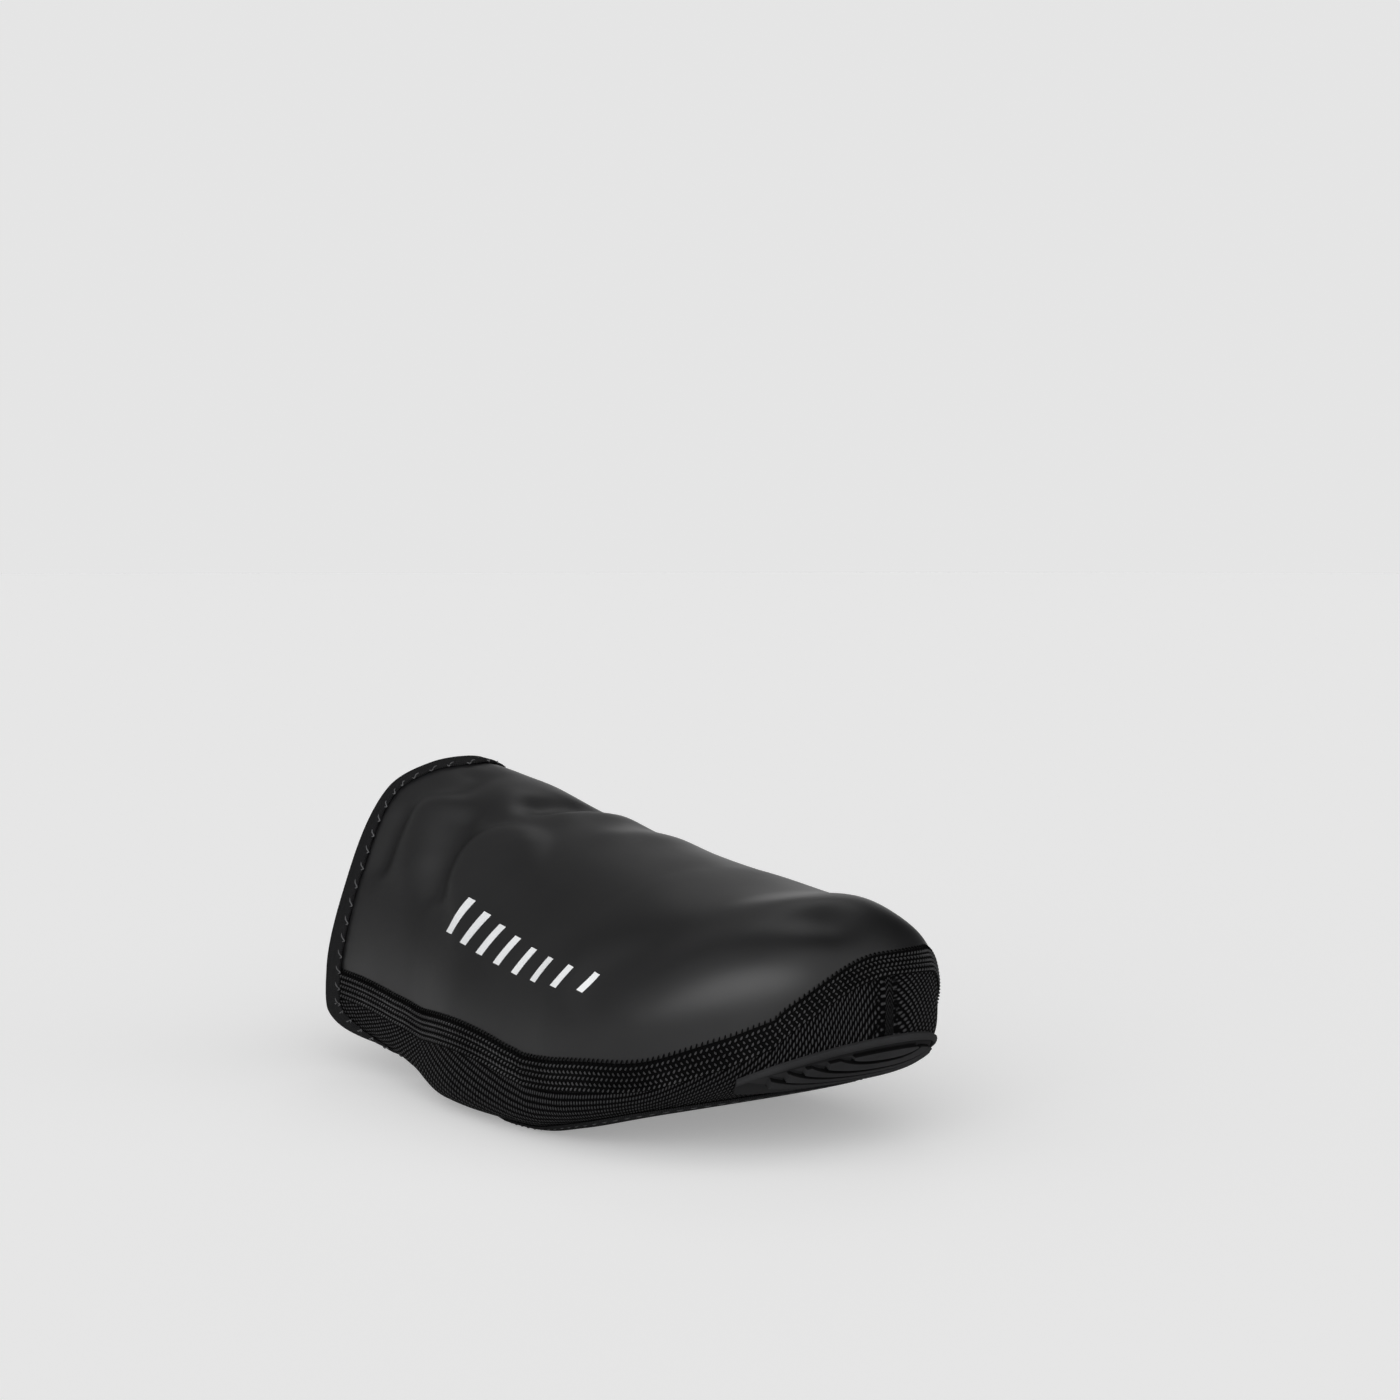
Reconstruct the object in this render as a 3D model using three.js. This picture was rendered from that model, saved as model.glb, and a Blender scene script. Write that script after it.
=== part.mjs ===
// Cycling toe cover, right foot: a soft cover pulled over the front half of a cycling shoe.
// A coated neoprene upper and a ribbed stretch-knit rand meet at a seam round the side. Folded tape
// binds the rear opening and the cleat opening, and a moulded pad guards the underside of the toe.
//
// Millimetres. +X runs to the toe, +Z is up, and the outer (lateral) side of the foot is -Y.
// Every piece lies on one skin, a surface of two parameters:
//   station: 0 at the toe tip, -1 and +1 at the ball of the foot on the lateral and medial side, and
//            100 mm of length for each further unit towards the rear;
//   turn:    0 on the widest line, +1 on the crown line above, -1 on the centre line of the sole.
import * as THREE from "three";
import { mergeVertices } from "three/addons/utils/BufferGeometryUtils.js";

// ---- driving dimensions ----
const GAP = 0.6; // clearance kept between a tape and the edge that it folds over
const SEAM_GAP = 0.006; // clearance between the upper and the knit, in turns
const BALL_X = 20; // section where the toe's fan of sections starts
const TIP_X = 84; // foremost point of the skin
const TOE_SQUARENESS = 2.2; // exponent of the toe's plan outline: 2 is an ellipse
const TOE_SHIFT = 3.6; // how far the tip lies to the medial side of the ball's centre
const SOLE_SQUARENESS = 4.5; // exponent of every section below the widest line
const SHELL_WALL = 2.6; // coated neoprene
const KNIT_WALL = 1.8; // stretch knit
const REST_LEVEL = 0; // the knit under the foot is stretched flat no lower than this
const REST_FLAT = 0.4; // how far the tape round the cleat opening is pressed flat where it rests

// Plan outline behind the ball: half widths each side of the axis, and where the axis lies.
const PLAN = [
  { x: -105, lateral: 38.2, medial: 37.0, axis: 0 },
  { x: -80, lateral: 40.2, medial: 40.0, axis: 0 },
  { x: -50, lateral: 44.0, medial: 42.5, axis: 0 },
  { x: -20, lateral: 49.6, medial: 45.0, axis: 1 },
  { x: 20, lateral: 51.6, medial: 46.0, axis: 2 },
];

// Heights of the sole, the widest line and the crown along the foot.
const HEIGHT = [
  { x: -105, sole: 7.0, rim: 27.6, crown: 86.4 },
  { x: -80, sole: 6.6, rim: 26.6, crown: 83.6 },
  { x: -52, sole: 2.0, rim: 23.4, crown: 77.4 },
  { x: -36, sole: -2.4, rim: 20.4, crown: 73.4 },
  { x: 3, sole: -1.6, rim: 19.4, crown: 66.2 },
  { x: 22, sole: 2.2, rim: 22.4, crown: 63.0 },
  { x: 45, sole: 8.8, rim: 28.6, crown: 60.4 },
  { x: 67, sole: 15.2, rim: 33.6, crown: 66.0 },
  { x: 84, sole: 18.6, rim: 36.0, crown: 68.4 },
];

// Section exponents above the widest line, rear to toe.
const ROUNDNESS = { width: [2.02, 2.36], height: [1.72, 2.48] };

// Rear edge of the cover: how far back it lies at each turn round the section.
const REAR_EDGE = [
  { turn: -1, x: -59.5 },
  { turn: -0.8, x: -60.5 },
  { turn: -0.66, x: -65.5 },
  { turn: -0.57, x: -74 },
  { turn: -0.5, x: -84 },
  { turn: -0.42, x: -92.7 },
  { turn: -0.3, x: -96.7 },
  { turn: 0, x: -96.0 },
  { turn: 0.33, x: -92.4 },
  { turn: 0.66, x: -94.2 },
  { turn: 0.85, x: -89.0 },
  { turn: 1, x: -86.4 },
];

// Seam between the upper and the knit, from the lateral rear round the toe to the medial rear.
const SEAM = [
  { station: -2.17, turn: 0.0 },
  { station: -1.8, turn: 0.01 },
  { station: -1.41, turn: 0.055 },
  { station: -1.12, turn: 0.015 },
  { station: -0.94, turn: -0.07 },
  { station: -0.68, turn: -0.2 },
  { station: -0.5, turn: -0.13 },
  { station: -0.3, turn: 0.03 },
  { station: 0.0, turn: 0.19 },
  { station: 0.25, turn: 0.19 },
  { station: 0.5, turn: 0.02 },
  { station: 0.72, turn: -0.12 },
  { station: 1.0, turn: -0.05 },
  { station: 1.41, turn: 0.05 },
  { station: 2.17, turn: 0.0 },
];

// Folds and bumps of the upper: each swells (or sinks) along a short line on the skin. A greater edge
// gives it steeper sides, and fade is how much of its height is gone by the end of its line.
const FOLDS = [
  { name: "front dial", from: [-1.52, 0.6], to: [-1.36, 0.42], width: 14, height: 2.6, edge: 6, fade: 1 },
  { name: "hollow between the dials", from: [-1.74, 0.66], to: [-1.68, 0.4], width: 5.5, height: -1.9 },
  { name: "rear dial", from: [-1.88, 0.64], to: [-1.83, 0.48], width: 9, height: 3.4, edge: 2.4, fade: 0.4 },
  { name: "hollow behind the rear dial", from: [-2.01, 0.56], to: [-2.0, 0.4], width: 5.5, height: -2.2 },
  { name: "hollow of the instep", from: [-1.92, 0.9], to: [-1.9, 0.78], width: 7, height: -2.2 },
  { name: "hump on the instep", from: [1.78, 0.88], to: [-1.74, 0.94], width: 9, height: 0.7 },
  { name: "step on the instep", from: [1.6, 0.9], to: [-1.62, 0.94], width: 6, height: -2.2 },
  { name: "second hump", from: [1.5, 0.84], to: [-1.5, 0.96], width: 7, height: 1.2 },
  { name: "third hump", from: [1.28, 0.84], to: [-1.3, 0.96], width: 8, height: 0.9 },
  { name: "lateral valley of the toe", from: [-0.86, 0.26], to: [-0.12, 0.42], width: 8, height: -1.8 },
  { name: "lateral shoulder of the toe", from: [-0.7, 0.06], to: [-0.26, 0.2], width: 9, height: 0.9 },
  { name: "medial valley of the toe", from: [0.78, 0.3], to: [0.4, 0.42], width: 8, height: -1.5 },
  { name: "medial dial", from: [1.5, 0.6], to: [1.56, 0.54], width: 9, height: 1.6 },
  { name: "medial hollow", from: [1.8, 0.5], to: [1.86, 0.36], width: 8, height: -1.2 },
];

// Cleat opening: its rear end on the centre line, its reach as a share of the sole's to the sides and
// to the toe, and the squareness of its rear end.
const CLEAT = { rear: -36, share: 0.76, frontShare: 0.54, round: 3 };

// Folded tapes: how far the lips reach in, their thickness and how far the fold stands off the edge.
// The rear tape's reach changes with the turn.
const REAR_TAPE = { lip: 0.95, fold: 1.5, wall: SHELL_WALL };
const REAR_REACH = [
  { turn: -1, reach: 7 },
  { turn: 0.1, reach: 6.8 },
  { turn: 0.35, reach: 5.4 },
  { turn: 0.6, reach: 4.2 },
  { turn: 0.8, reach: 4.6 },
  { turn: 1, reach: 6.6 },
];
const CLEAT_TAPE = { reach: 4.4, lip: 0.75, fold: 1.3, wall: KNIT_WALL };

// Toe pad: how far round the toe it reaches (stations), its rear border, the turn of its outer rim and
// how that falls towards the pad's ends. Then the widths of its flange and steps, and its relief.
const PAD = { middle: 0.02, reach: 0.46, rearX: 62.5, rim: -0.24, rimFall: 0.82 };
const PAD_WIDTH = { rounded: 0.4, flange: 1.8, trench: 1.2, tail: 0.9, step: 0.25, groove: 0.8 };
const PAD_HEIGHT = { back: 0.4, edge: 0.85, flange: 1.2, trench: 0.8, low: 1.4, high: 1.65, tail: 1 };

// Crescents of the pad: where each one's rear border crosses the centre line, how far that border
// runs back by the pad's end, and the station where the crescent is cut off.
const CRESCENTS = [
  { x: 81.0, sweep: 0, cut: 0.13 },
  { x: 78.3, sweep: 0, cut: 0.205 },
  { x: 75.8, sweep: 0.5, cut: 0.27 },
  { x: 72.8, sweep: 1, cut: 0.32 },
  { x: 69.2, sweep: 1.5, cut: 0.365 },
];

// Mesh density. The lines of the knit's strap start at strapShare of the seam's length.
const SHELL_GRID = { along: 66, across: 16 };
const KNIT_GRID = { opening: 20, strap: 5, across: 12, strapShare: 0.78 };
const REAR_TAPE_STEPS = 62;
const CLEAT_TAPE_STEPS = 44;
const PAD_STEPS = 38;
const PAD_BACK_STEPS = 7;

// ---- the skin ----

/** A smooth curve through one column of a table, with no overshoot between its rows. */
function curveOf(rows, key, column, levelEnds = false) {
  const xs = rows.map((row) => row[key]);
  const ys = rows.map((row) => row[column]);
  const last = xs.length - 1;
  const run = xs.slice(1).map((x, i) => x - xs[i]);
  const rise = run.map((h, i) => (ys[i + 1] - ys[i]) / h);
  const slope = ys.map((_, i) => {
    if (i === 0 || i === last) return levelEnds ? 0 : rise[Math.min(i, last - 1)];
    if (rise[i - 1] * rise[i] <= 0) return 0;
    const share = run[i] / (run[i] + run[i - 1]);
    return 1 / (share / rise[i - 1] + (1 - share) / rise[i]);
  });
  return (value) => {
    const x = Math.min(Math.max(value, xs[0]), xs[last]);
    let i = 0;
    while (i < last - 1 && x > xs[i + 1]) i += 1;
    const s = (x - xs[i]) / run[i];
    const a = 2 * s ** 3 - 3 * s ** 2 + 1;
    const b = s ** 3 - 2 * s ** 2 + s;
    const c = s ** 3 - s ** 2;
    return a * ys[i] + b * run[i] * slope[i] + (1 - a) * ys[i + 1] + c * run[i] * slope[i + 1];
  };
}

const lateralWidth = curveOf(PLAN, "x", "lateral");
const medialWidth = curveOf(PLAN, "x", "medial");
const axisLine = curveOf(PLAN, "x", "axis");
const soleLine = curveOf(HEIGHT, "x", "sole");
const rimLine = curveOf(HEIGHT, "x", "rim");
const crownLine = curveOf(HEIGHT, "x", "crown");
const rearEdge = curveOf(REAR_EDGE, "turn", "x", true);
const seamTurn = curveOf(SEAM, "station", "turn");
const rearReach = curveOf(REAR_REACH, "turn", "reach");

const clamp = THREE.MathUtils.clamp;
const lerp = THREE.MathUtils.lerp;
const stationOf = (x) => 1 + (BALL_X - x) / 100;

/** The exponent of a section at x, from its rear and toe values. */
function roundness([rear, toe], x) {
  const first = HEIGHT[0].x;
  return lerp(rear, toe, clamp((x - first) / (TIP_X - first), 0, 1));
}

/** Plan position of the axis and of the widest line at a station. */
function planAt(station) {
  const reach = Math.abs(station);
  const side = Math.sign(station) || 1;
  const x = BALL_X - Math.max(reach - 1, 0) * 100;
  const half = side < 0 ? lateralWidth(x) : medialWidth(x);
  const axis = { x, y: axisLine(x) };
  if (reach >= 1) return { axis, rim: { x, y: side * half } };
  const angle = (reach * Math.PI) / 2;
  const forward = Math.cos(angle) ** (2 / TOE_SQUARENESS);
  const sideways = Math.sin(angle) ** (2 / TOE_SQUARENESS);
  const rim = {
    x: BALL_X + (TIP_X - BALL_X) * forward,
    y: side * half * sideways + TOE_SHIFT * forward ** 2,
  };
  return { axis, rim };
}

/** Share of the way out to the widest line, and share of the way up or down, at a turn. */
function sectionAt(turn, x) {
  if (Math.abs(turn) >= 1) return { out: 0, climb: 1 };
  const angle = (Math.abs(turn) * Math.PI) / 2;
  const [c, s] = [Math.cos(angle), Math.sin(angle)];
  if (turn >= 0) {
    return {
      out: c ** (2 / roundness(ROUNDNESS.width, x)),
      climb: s ** (2 / roundness(ROUNDNESS.height, x)),
    };
  }
  const scale = (c ** SOLE_SQUARENESS + s ** SOLE_SQUARENESS) ** (-1 / SOLE_SQUARENESS);
  return { out: c * scale, climb: s * scale };
}

/** The skin without its folds. */
function smoothSkin(station, turn) {
  const { axis, rim } = planAt(station);
  const { out, climb } = sectionAt(turn, rim.x);
  const x = lerp(axis.x, rim.x, out);
  const y = lerp(axis.y, rim.y, out);
  const end = turn >= 0 ? crownLine(x) : soleLine(x);
  const z = lerp(rimLine(rim.x), end, climb);
  return new THREE.Vector3(x, y, Math.max(z, REST_LEVEL));
}

/** Outward normal of a surface of (station, turn). */
function normalOf(surface, station, turn) {
  const step = 0.004;
  const t = clamp(turn, -1 + 2 * step, 1 - 2 * step);
  const along = surface(station + step, t).sub(surface(station - step, t));
  const round = surface(station, t + step).sub(surface(station, t - step));
  return along.cross(round).normalize();
}

const foldLines = FOLDS.map((fold) => ({
  ...fold,
  line: new THREE.Line3(smoothSkin(...fold.from), smoothSkin(...fold.to)),
}));

/** How far the folds swell the skin at a point of it. */
function foldHeight(point) {
  const nearest = new THREE.Vector3();
  return foldLines.reduce((sum, { line, width, height, edge = 2, fade = 0 }) => {
    const share = line.closestPointToPointParameter(point, true);
    const away = line.at(share, nearest).distanceTo(point);
    return sum + height * (1 - fade * share) * Math.exp(-((away / width) ** edge));
  }, 0);
}

/** The skin: the outer face of the upper and of the knit. */
function skin(station, turn) {
  const point = smoothSkin(station, turn);
  const height = foldHeight(point);
  return point.addScaledVector(normalOf(smoothSkin, station, turn), height);
}

/** A point a given distance outside the skin. */
function outside(station, turn, distance) {
  return skin(station, turn).addScaledVector(normalOf(skin, station, turn), distance);
}

// ---- closed meshes ----

const MERGE_WITHIN = 1e-4;

/** A closed geometry from corners and triangles: collapsed faces are left out, the rest face out. */
function closedGeometry(points, triangles) {
  const volume = triangles.reduce((sum, [a, b, c]) => {
    const face = new THREE.Vector3().crossVectors(points[b], points[c]);
    return sum + points[a].dot(face);
  }, 0);
  const faces = volume < 0 ? triangles.map(([a, b, c]) => [a, c, b]) : triangles;
  const loose = new THREE.BufferGeometry().setFromPoints(points).setIndex(faces.flat());
  const geometry = mergeVertices(loose, MERGE_WITHIN);
  const index = geometry.getIndex().array;
  const kept = faces.map((_, i) => [...index.slice(3 * i, 3 * i + 3)]);
  geometry.setIndex(kept.filter(([a, b, c]) => a !== b && b !== c && c !== a).flat());
  geometry.computeVertexNormals();
  return geometry;
}

/** Corner numbers of a grid of cells: the two sides share their corners on the crown and sole lines. */
function weld(grid) {
  const known = new Map();
  const corners = [];
  const numbers = grid.map((row) =>
    row.map((cell) => {
      const [station, turn] = cell;
      const place = Math.abs(turn) < 1 ? station : Math.abs(station);
      const key = `${place.toFixed(6)} ${turn.toFixed(6)}`;
      if (!known.has(key)) {
        known.set(key, corners.length);
        corners.push(cell);
      }
      return known.get(key);
    }),
  );
  return { numbers, corners };
}

/** The triangles between the rows of a numbered grid, leaving out collapsed ones. */
function trianglesOf(numbers) {
  const faces = [];
  const keep = (a, b, c) => {
    if (a !== b && b !== c && c !== a) faces.push([a, b, c]);
  };
  for (let i = 0; i + 1 < numbers.length; i += 1) {
    for (let j = 0; j + 1 < numbers[i].length; j += 1) {
      const [a, b] = [numbers[i][j], numbers[i][j + 1]];
      const [c, d] = [numbers[i + 1][j + 1], numbers[i + 1][j]];
      keep(a, b, c);
      keep(a, c, d);
    }
  }
  return faces;
}

/** A wall of even thickness below the skin, over a grid of [station, turn] cells. */
function wallGeometry(grid, thickness) {
  const { numbers, corners } = weld(grid);
  const outer = corners.map((cell) => outside(...cell, 0));
  const inner = corners.map((cell) => outside(...cell, -thickness));
  const count = corners.length;
  const face = trianglesOf(numbers);
  const edges = new Map();
  for (const [a, b, c] of face) {
    for (const [p, q] of [[a, b], [b, c], [c, a]]) {
      if (!edges.delete(`${q},${p}`)) edges.set(`${p},${q}`, [p, q]);
    }
  }
  const back = face.map(([a, b, c]) => [a + count, c + count, b + count]);
  const rim = [...edges.values()].flatMap(([p, q]) => [
    [q, p, p + count],
    [q, p + count, q + count],
  ]);
  return closedGeometry([...outer, ...inner], [...face, ...back, ...rim]);
}

/** A closed section swept along a closed loop: one ring of points for each step. */
function loopGeometry(rings) {
  const sides = rings[0].length;
  const faces = [];
  rings.forEach((_, i) => {
    const here = i * sides;
    const next = ((i + 1) % rings.length) * sides;
    for (let j = 0; j < sides; j += 1) {
      const k = (j + 1) % sides;
      faces.push([here + j, here + k, next + k], [here + j, next + k, next + j]);
    }
  });
  return closedGeometry(rings.flat(), faces);
}

// ---- upper ----

/** A cell of the skin between the two rear edges: across runs from -1 (lateral) to 1 (medial). */
function trimmed(across, turn) {
  return [across * stationOf(rearEdge(turn)), turn];
}

function upperShell() {
  const { along, across } = SHELL_GRID;
  const grid = [];
  for (let i = 0; i <= along; i += 1) {
    const side = (2 * i) / along - 1;
    const foot = seamTurn(side * stationOf(rearEdge(0))) + SEAM_GAP / 2;
    const row = [];
    for (let j = 0; j <= across; j += 1) row.push(trimmed(side, lerp(foot, 1, j / across)));
    grid.push(row);
  }
  return wallGeometry(grid, SHELL_WALL);
}

// ---- knit rand and sole ----

/** Edge of the cleat opening, from the toe end (0) round one side to the rear end (1). */
function cleatEdge(share, side) {
  const straight = 0.45;
  if (share <= straight) {
    const station = side * (share / straight);
    const blend = Math.sin((Math.abs(station) * Math.PI) / 2) ** 2;
    return [station, turnOfShare(lerp(CLEAT.frontShare, CLEAT.share, blend))];
  }
  const angle = ((share - straight) / (1 - straight)) * (Math.PI / 2);
  const back = Math.sin(angle) ** (2 / CLEAT.round);
  const x = lerp(BALL_X, CLEAT.rear, back);
  const out = CLEAT.share * Math.cos(angle) ** (2 / CLEAT.round);
  return [side * stationOf(x), share >= 1 ? -1 : turnOfShare(out)];
}

/** The turn on the sole at a given share of the way out to the widest line. */
function turnOfShare(out) {
  const climb = (1 - out ** SOLE_SQUARENESS) ** (1 / SOLE_SQUARENESS);
  return (-2 / Math.PI) * Math.atan2(climb, out);
}

/**
 * One line of the knit, from the seam down. Up to share 1 it ends on the cleat opening; from there to
 * share 2, the rear edge, it ends on the centre line of the strap behind the opening.
 */
function knitLine(share, side) {
  const [end, endTurn] = cleatEdge(Math.min(share, 1), 1);
  const start = KNIT_GRID.strapShare * Math.min(share, 1) * stationOf(rearEdge(0));
  const top = lerp(start, stationOf(rearEdge(0)), Math.max(share - 1, 0));
  const head = seamTurn(side * top) - SEAM_GAP;
  const line = [];
  for (let j = 0; j <= KNIT_GRID.across; j += 1) {
    const down = j / KNIT_GRID.across;
    const turn = lerp(head, endTurn, down);
    const station = lerp(start, end, down);
    line.push([side * lerp(station, stationOf(rearEdge(turn)), Math.max(share - 1, 0)), turn]);
  }
  return line;
}

function soleRand() {
  const { opening, strap } = KNIT_GRID;
  const shares = [];
  for (let i = 0; i <= opening; i += 1) shares.push(i / opening);
  for (let i = 1; i <= strap; i += 1) shares.push(1 + i / strap);
  const lateral = shares.toReversed().map((share) => knitLine(share, -1));
  const medial = shares.slice(1).map((share) => knitLine(share, 1));
  return wallGeometry([...lateral, ...medial], KNIT_WALL);
}

// ---- folded tapes ----

/** Outline of a folded tape: [reach in from the edge, height above the skin] for each corner. */
function tapeSection({ reach, lip, fold, wall }) {
  const out = GAP;
  const under = -wall - GAP;
  const [thin, full, bevel] = [0.75 * lip, 1.1 * lip, 0.2 * lip];
  return [
    [reach, out],
    [reach, out + thin],
    [reach / 2, out + full],
    [0, out + lip],
    [-fold, out - bevel],
    [-fold, under + bevel],
    [0, under - lip],
    [reach / 2, under - full],
    [reach, under - thin],
    [reach, under],
    [reach / 2, under],
    [-GAP, under],
    [-GAP, out],
    [reach / 2, out],
  ];
}

/** A tape folded over an edge of the skin: cells is the edge's closed loop, reachAt gives a turn's reach. */
function tapeRings(cells, tape, reachAt = () => tape.reach) {
  const step = 0.003;
  const count = cells.length;
  return cells.map((cell, i) => {
    const [station, turn] = cell;
    const before = skin(...cells[(i + count - 1) % count]);
    const after = skin(...cells[(i + 1) % count]);
    const t = clamp(turn, -1 + 2 * step, 1 - 2 * step);
    const here = skin(station, turn);
    const run = after.sub(before).normalize();
    const normal = normalOf(skin, station, turn);
    const inward = new THREE.Vector3().crossVectors(normal, run).normalize();
    const perStation = skin(station + step, t).sub(skin(station - step, t)).divideScalar(2 * step);
    const perTurn = skin(station, t + step).sub(skin(station, t - step)).divideScalar(2 * step);
    // solve inward = a perStation + b perTurn within the skin
    const [uu, uv, vv] = [perStation.dot(perStation), perStation.dot(perTurn), perTurn.dot(perTurn)];
    const [iu, iv] = [inward.dot(perStation), inward.dot(perTurn)];
    const det = uu * vv - uv * uv;
    const a = (iu * vv - iv * uv) / det;
    const b = (iv * uu - iu * uv) / det;
    return tapeSection({ ...tape, reach: reachAt(turn) }).map(([reach, height]) => {
      if (reach <= 0) return here.clone().addScaledVector(inward, reach).addScaledVector(normal, height);
      const [s, v] = [station + a * reach, turn + b * reach];
      return v < -1 || v > 1 ? outside(-s, Math.sign(v) * 2 - v, height) : outside(s, v, height);
    });
  });
}

function openingBinding() {
  const cells = [];
  for (let i = 0; i < REAR_TAPE_STEPS; i += 1) {
    const share = i / REAR_TAPE_STEPS;
    const side = share < 0.5 ? -1 : 1;
    const turn = share < 0.5 ? 1 - 4 * share : 4 * share - 3;
    cells.push(trimmed(side, turn));
  }
  return loopGeometry(tapeRings(cells, REAR_TAPE, rearReach));
}

/** Presses the lowest part of a loop flat, where the cover rests. */
function pressFlat(rings) {
  const lowest = Math.min(...rings.flat().map((point) => point.z)) + REST_FLAT;
  return rings.map((ring) => ring.map((point) => point.setZ(Math.max(point.z, lowest))));
}

function cleatOpeningBinding() {
  const cells = [];
  const half = CLEAT_TAPE_STEPS / 2;
  for (let i = 0; i < half; i += 1) cells.push(cleatEdge(1 - i / half, -1));
  for (let i = 0; i < half; i += 1) cells.push(cleatEdge(i / half, 1));
  return loopGeometry(pressFlat(tapeRings(cells, CLEAT_TAPE)));
}

// ---- toe pad ----

/** Turn of the pad's outer rim at a station. */
const padRimTurn = (station) => PAD.rim - PAD.rimFall * (station - PAD.middle) ** 2;

/** Turn, on the sole, of a line that crosses the centre line at x and sweeps back by the pad's end. */
function turnAcross(x, sweep, station) {
  const { rim } = planAt(station);
  const back = sweep * ((station - PAD.middle) / PAD.reach) ** 2;
  const out = clamp((x - back - BALL_X) / (rim.x - BALL_X), 0.02, 0.995);
  return turnOfShare(out);
}

/** The pad's section at a station: [turn, height above the skin] for each corner. */
function padSection(station) {
  const reach = Math.abs(station - PAD.middle);
  const rim = padRimTurn(station);
  const sample = 0.05;
  const perTurn = skin(station, rim - sample).distanceTo(skin(station, rim)) / sample;
  const turns = (width) => width / perTurn;
  const flange = rim - turns(PAD_WIDTH.flange);
  const trench = flange - turns(PAD_WIDTH.trench);
  const rear = Math.min(turnAcross(PAD.rearX, 0, station), trench - turns(PAD_WIDTH.tail));
  const step = turns(PAD_WIDTH.step);
  const face = [
    [rim, PAD_HEIGHT.edge],
    [rim - turns(PAD_WIDTH.rounded), PAD_HEIGHT.flange],
    [flange + step, PAD_HEIGHT.flange],
    [flange, PAD_HEIGHT.trench],
  ];
  let head = trench;
  for (const { x, sweep, cut } of CRESCENTS) {
    const foot = clamp(turnAcross(x, sweep, station), rear, head);
    const brink = Math.min(foot + turns(PAD_WIDTH.groove), head);
    const shown = reach < cut && brink < head;
    const [low, high] = shown ? [PAD_HEIGHT.low, PAD_HEIGHT.high] : [PAD_HEIGHT.trench, PAD_HEIGHT.trench];
    face.push([head, PAD_HEIGHT.trench], [head, low], [brink, high], [brink, PAD_HEIGHT.trench]);
    head = foot;
  }
  face.push([head, PAD_HEIGHT.trench], [Math.min(rear + step, head), PAD_HEIGHT.tail]);
  face.push([rear, PAD_HEIGHT.edge]);
  const back = [];
  for (let i = 0; i <= PAD_BACK_STEPS; i += 1) {
    back.push([lerp(rear, rim, i / PAD_BACK_STEPS), PAD_HEIGHT.back]);
  }
  return [...face, ...back];
}

function toePad() {
  const rings = [];
  for (let i = 0; i <= PAD_STEPS; i += 1) {
    const station = PAD.middle + PAD.reach * ((2 * i) / PAD_STEPS - 1);
    rings.push(padSection(station).map(([turn, height]) => outside(station, turn, height)));
  }
  const sides = rings[0].length;
  const faces = [];
  for (let i = 0; i < PAD_STEPS; i += 1) {
    for (let j = 0; j < sides; j += 1) {
      const k = (j + 1) % sides;
      const [a, b, c, d] = [i * sides + j, i * sides + k, (i + 1) * sides + k, (i + 1) * sides + j];
      faces.push([a, b, c], [a, c, d]);
    }
  }
  for (const [start, flip] of [[0, true], [PAD_STEPS * sides, false]]) {
    const outline = rings[start / sides];
    const middle = new THREE.Vector3();
    outline.forEach((point) => middle.add(point));
    rings.push([middle.divideScalar(sides)]);
    const centre = rings.flat().length - 1;
    for (let j = 0; j < sides; j += 1) {
      const k = (j + 1) % sides;
      const face = [start + j, start + k, centre];
      faces.push(flip ? face.toReversed() : face);
    }
  }
  return closedGeometry(rings.flat(), faces);
}

// ---- the assembly ----

const PIECES = [
  { name: "upper_shell", make: upperShell, colour: 0x17181a, roughness: 0.5 },
  { name: "sole_rand", make: soleRand, colour: 0x141517, roughness: 0.95 },
  { name: "opening_binding", make: openingBinding, colour: 0x1c1d20, roughness: 0.9 },
  { name: "cleat_opening_binding", make: cleatOpeningBinding, colour: 0x1c1d20, roughness: 0.9 },
  { name: "toe_pad", make: toePad, colour: 0x333436, roughness: 0.6 },
];

const cover = new THREE.Group();
for (const { name, make, colour, roughness } of PIECES) {
  const material = new THREE.MeshStandardMaterial({ color: colour, roughness, metalness: 0 });
  const mesh = new THREE.Mesh(make(), material);
  mesh.name = name;
  cover.add(mesh);
}

// The origin is the middle of the footprint, on the surface that the cover rests on.
const bounds = new THREE.Box3().setFromObject(cover);
const centre = bounds.getCenter(new THREE.Vector3());
cover.children.forEach((mesh) => mesh.geometry.translate(-centre.x, -centre.y, -bounds.min.z));

export default cover;
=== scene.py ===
"""Cycling toe cover for the right foot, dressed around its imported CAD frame.

The cover is a soft shell that is pulled over the front half of a cycling shoe: a coated neoprene upper,
a ribbed stretch-knit rand with a cleat opening, a flatlock seam between them, folded tapes and a moulded
toe pad.

All pieces lie on one skin of two parameters, in the frame's axes (+X to the toe, +Z up, lateral side -Y):
    station: 0 at the toe tip, -1 and +1 at the ball of the foot on the lateral and medial side, then
             100 mm of length for each further unit towards the rear;
    turn:    0 on the widest line, +1 on the crown line above, -1 on the centre line of the sole.
Sizes on the skin are in millimetres. Meshes are in metres.
"""

from __future__ import annotations

import logging
import math
from collections.abc import Callable, Sequence
from dataclasses import dataclass, field
from enum import Enum
from typing import NamedTuple

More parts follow.
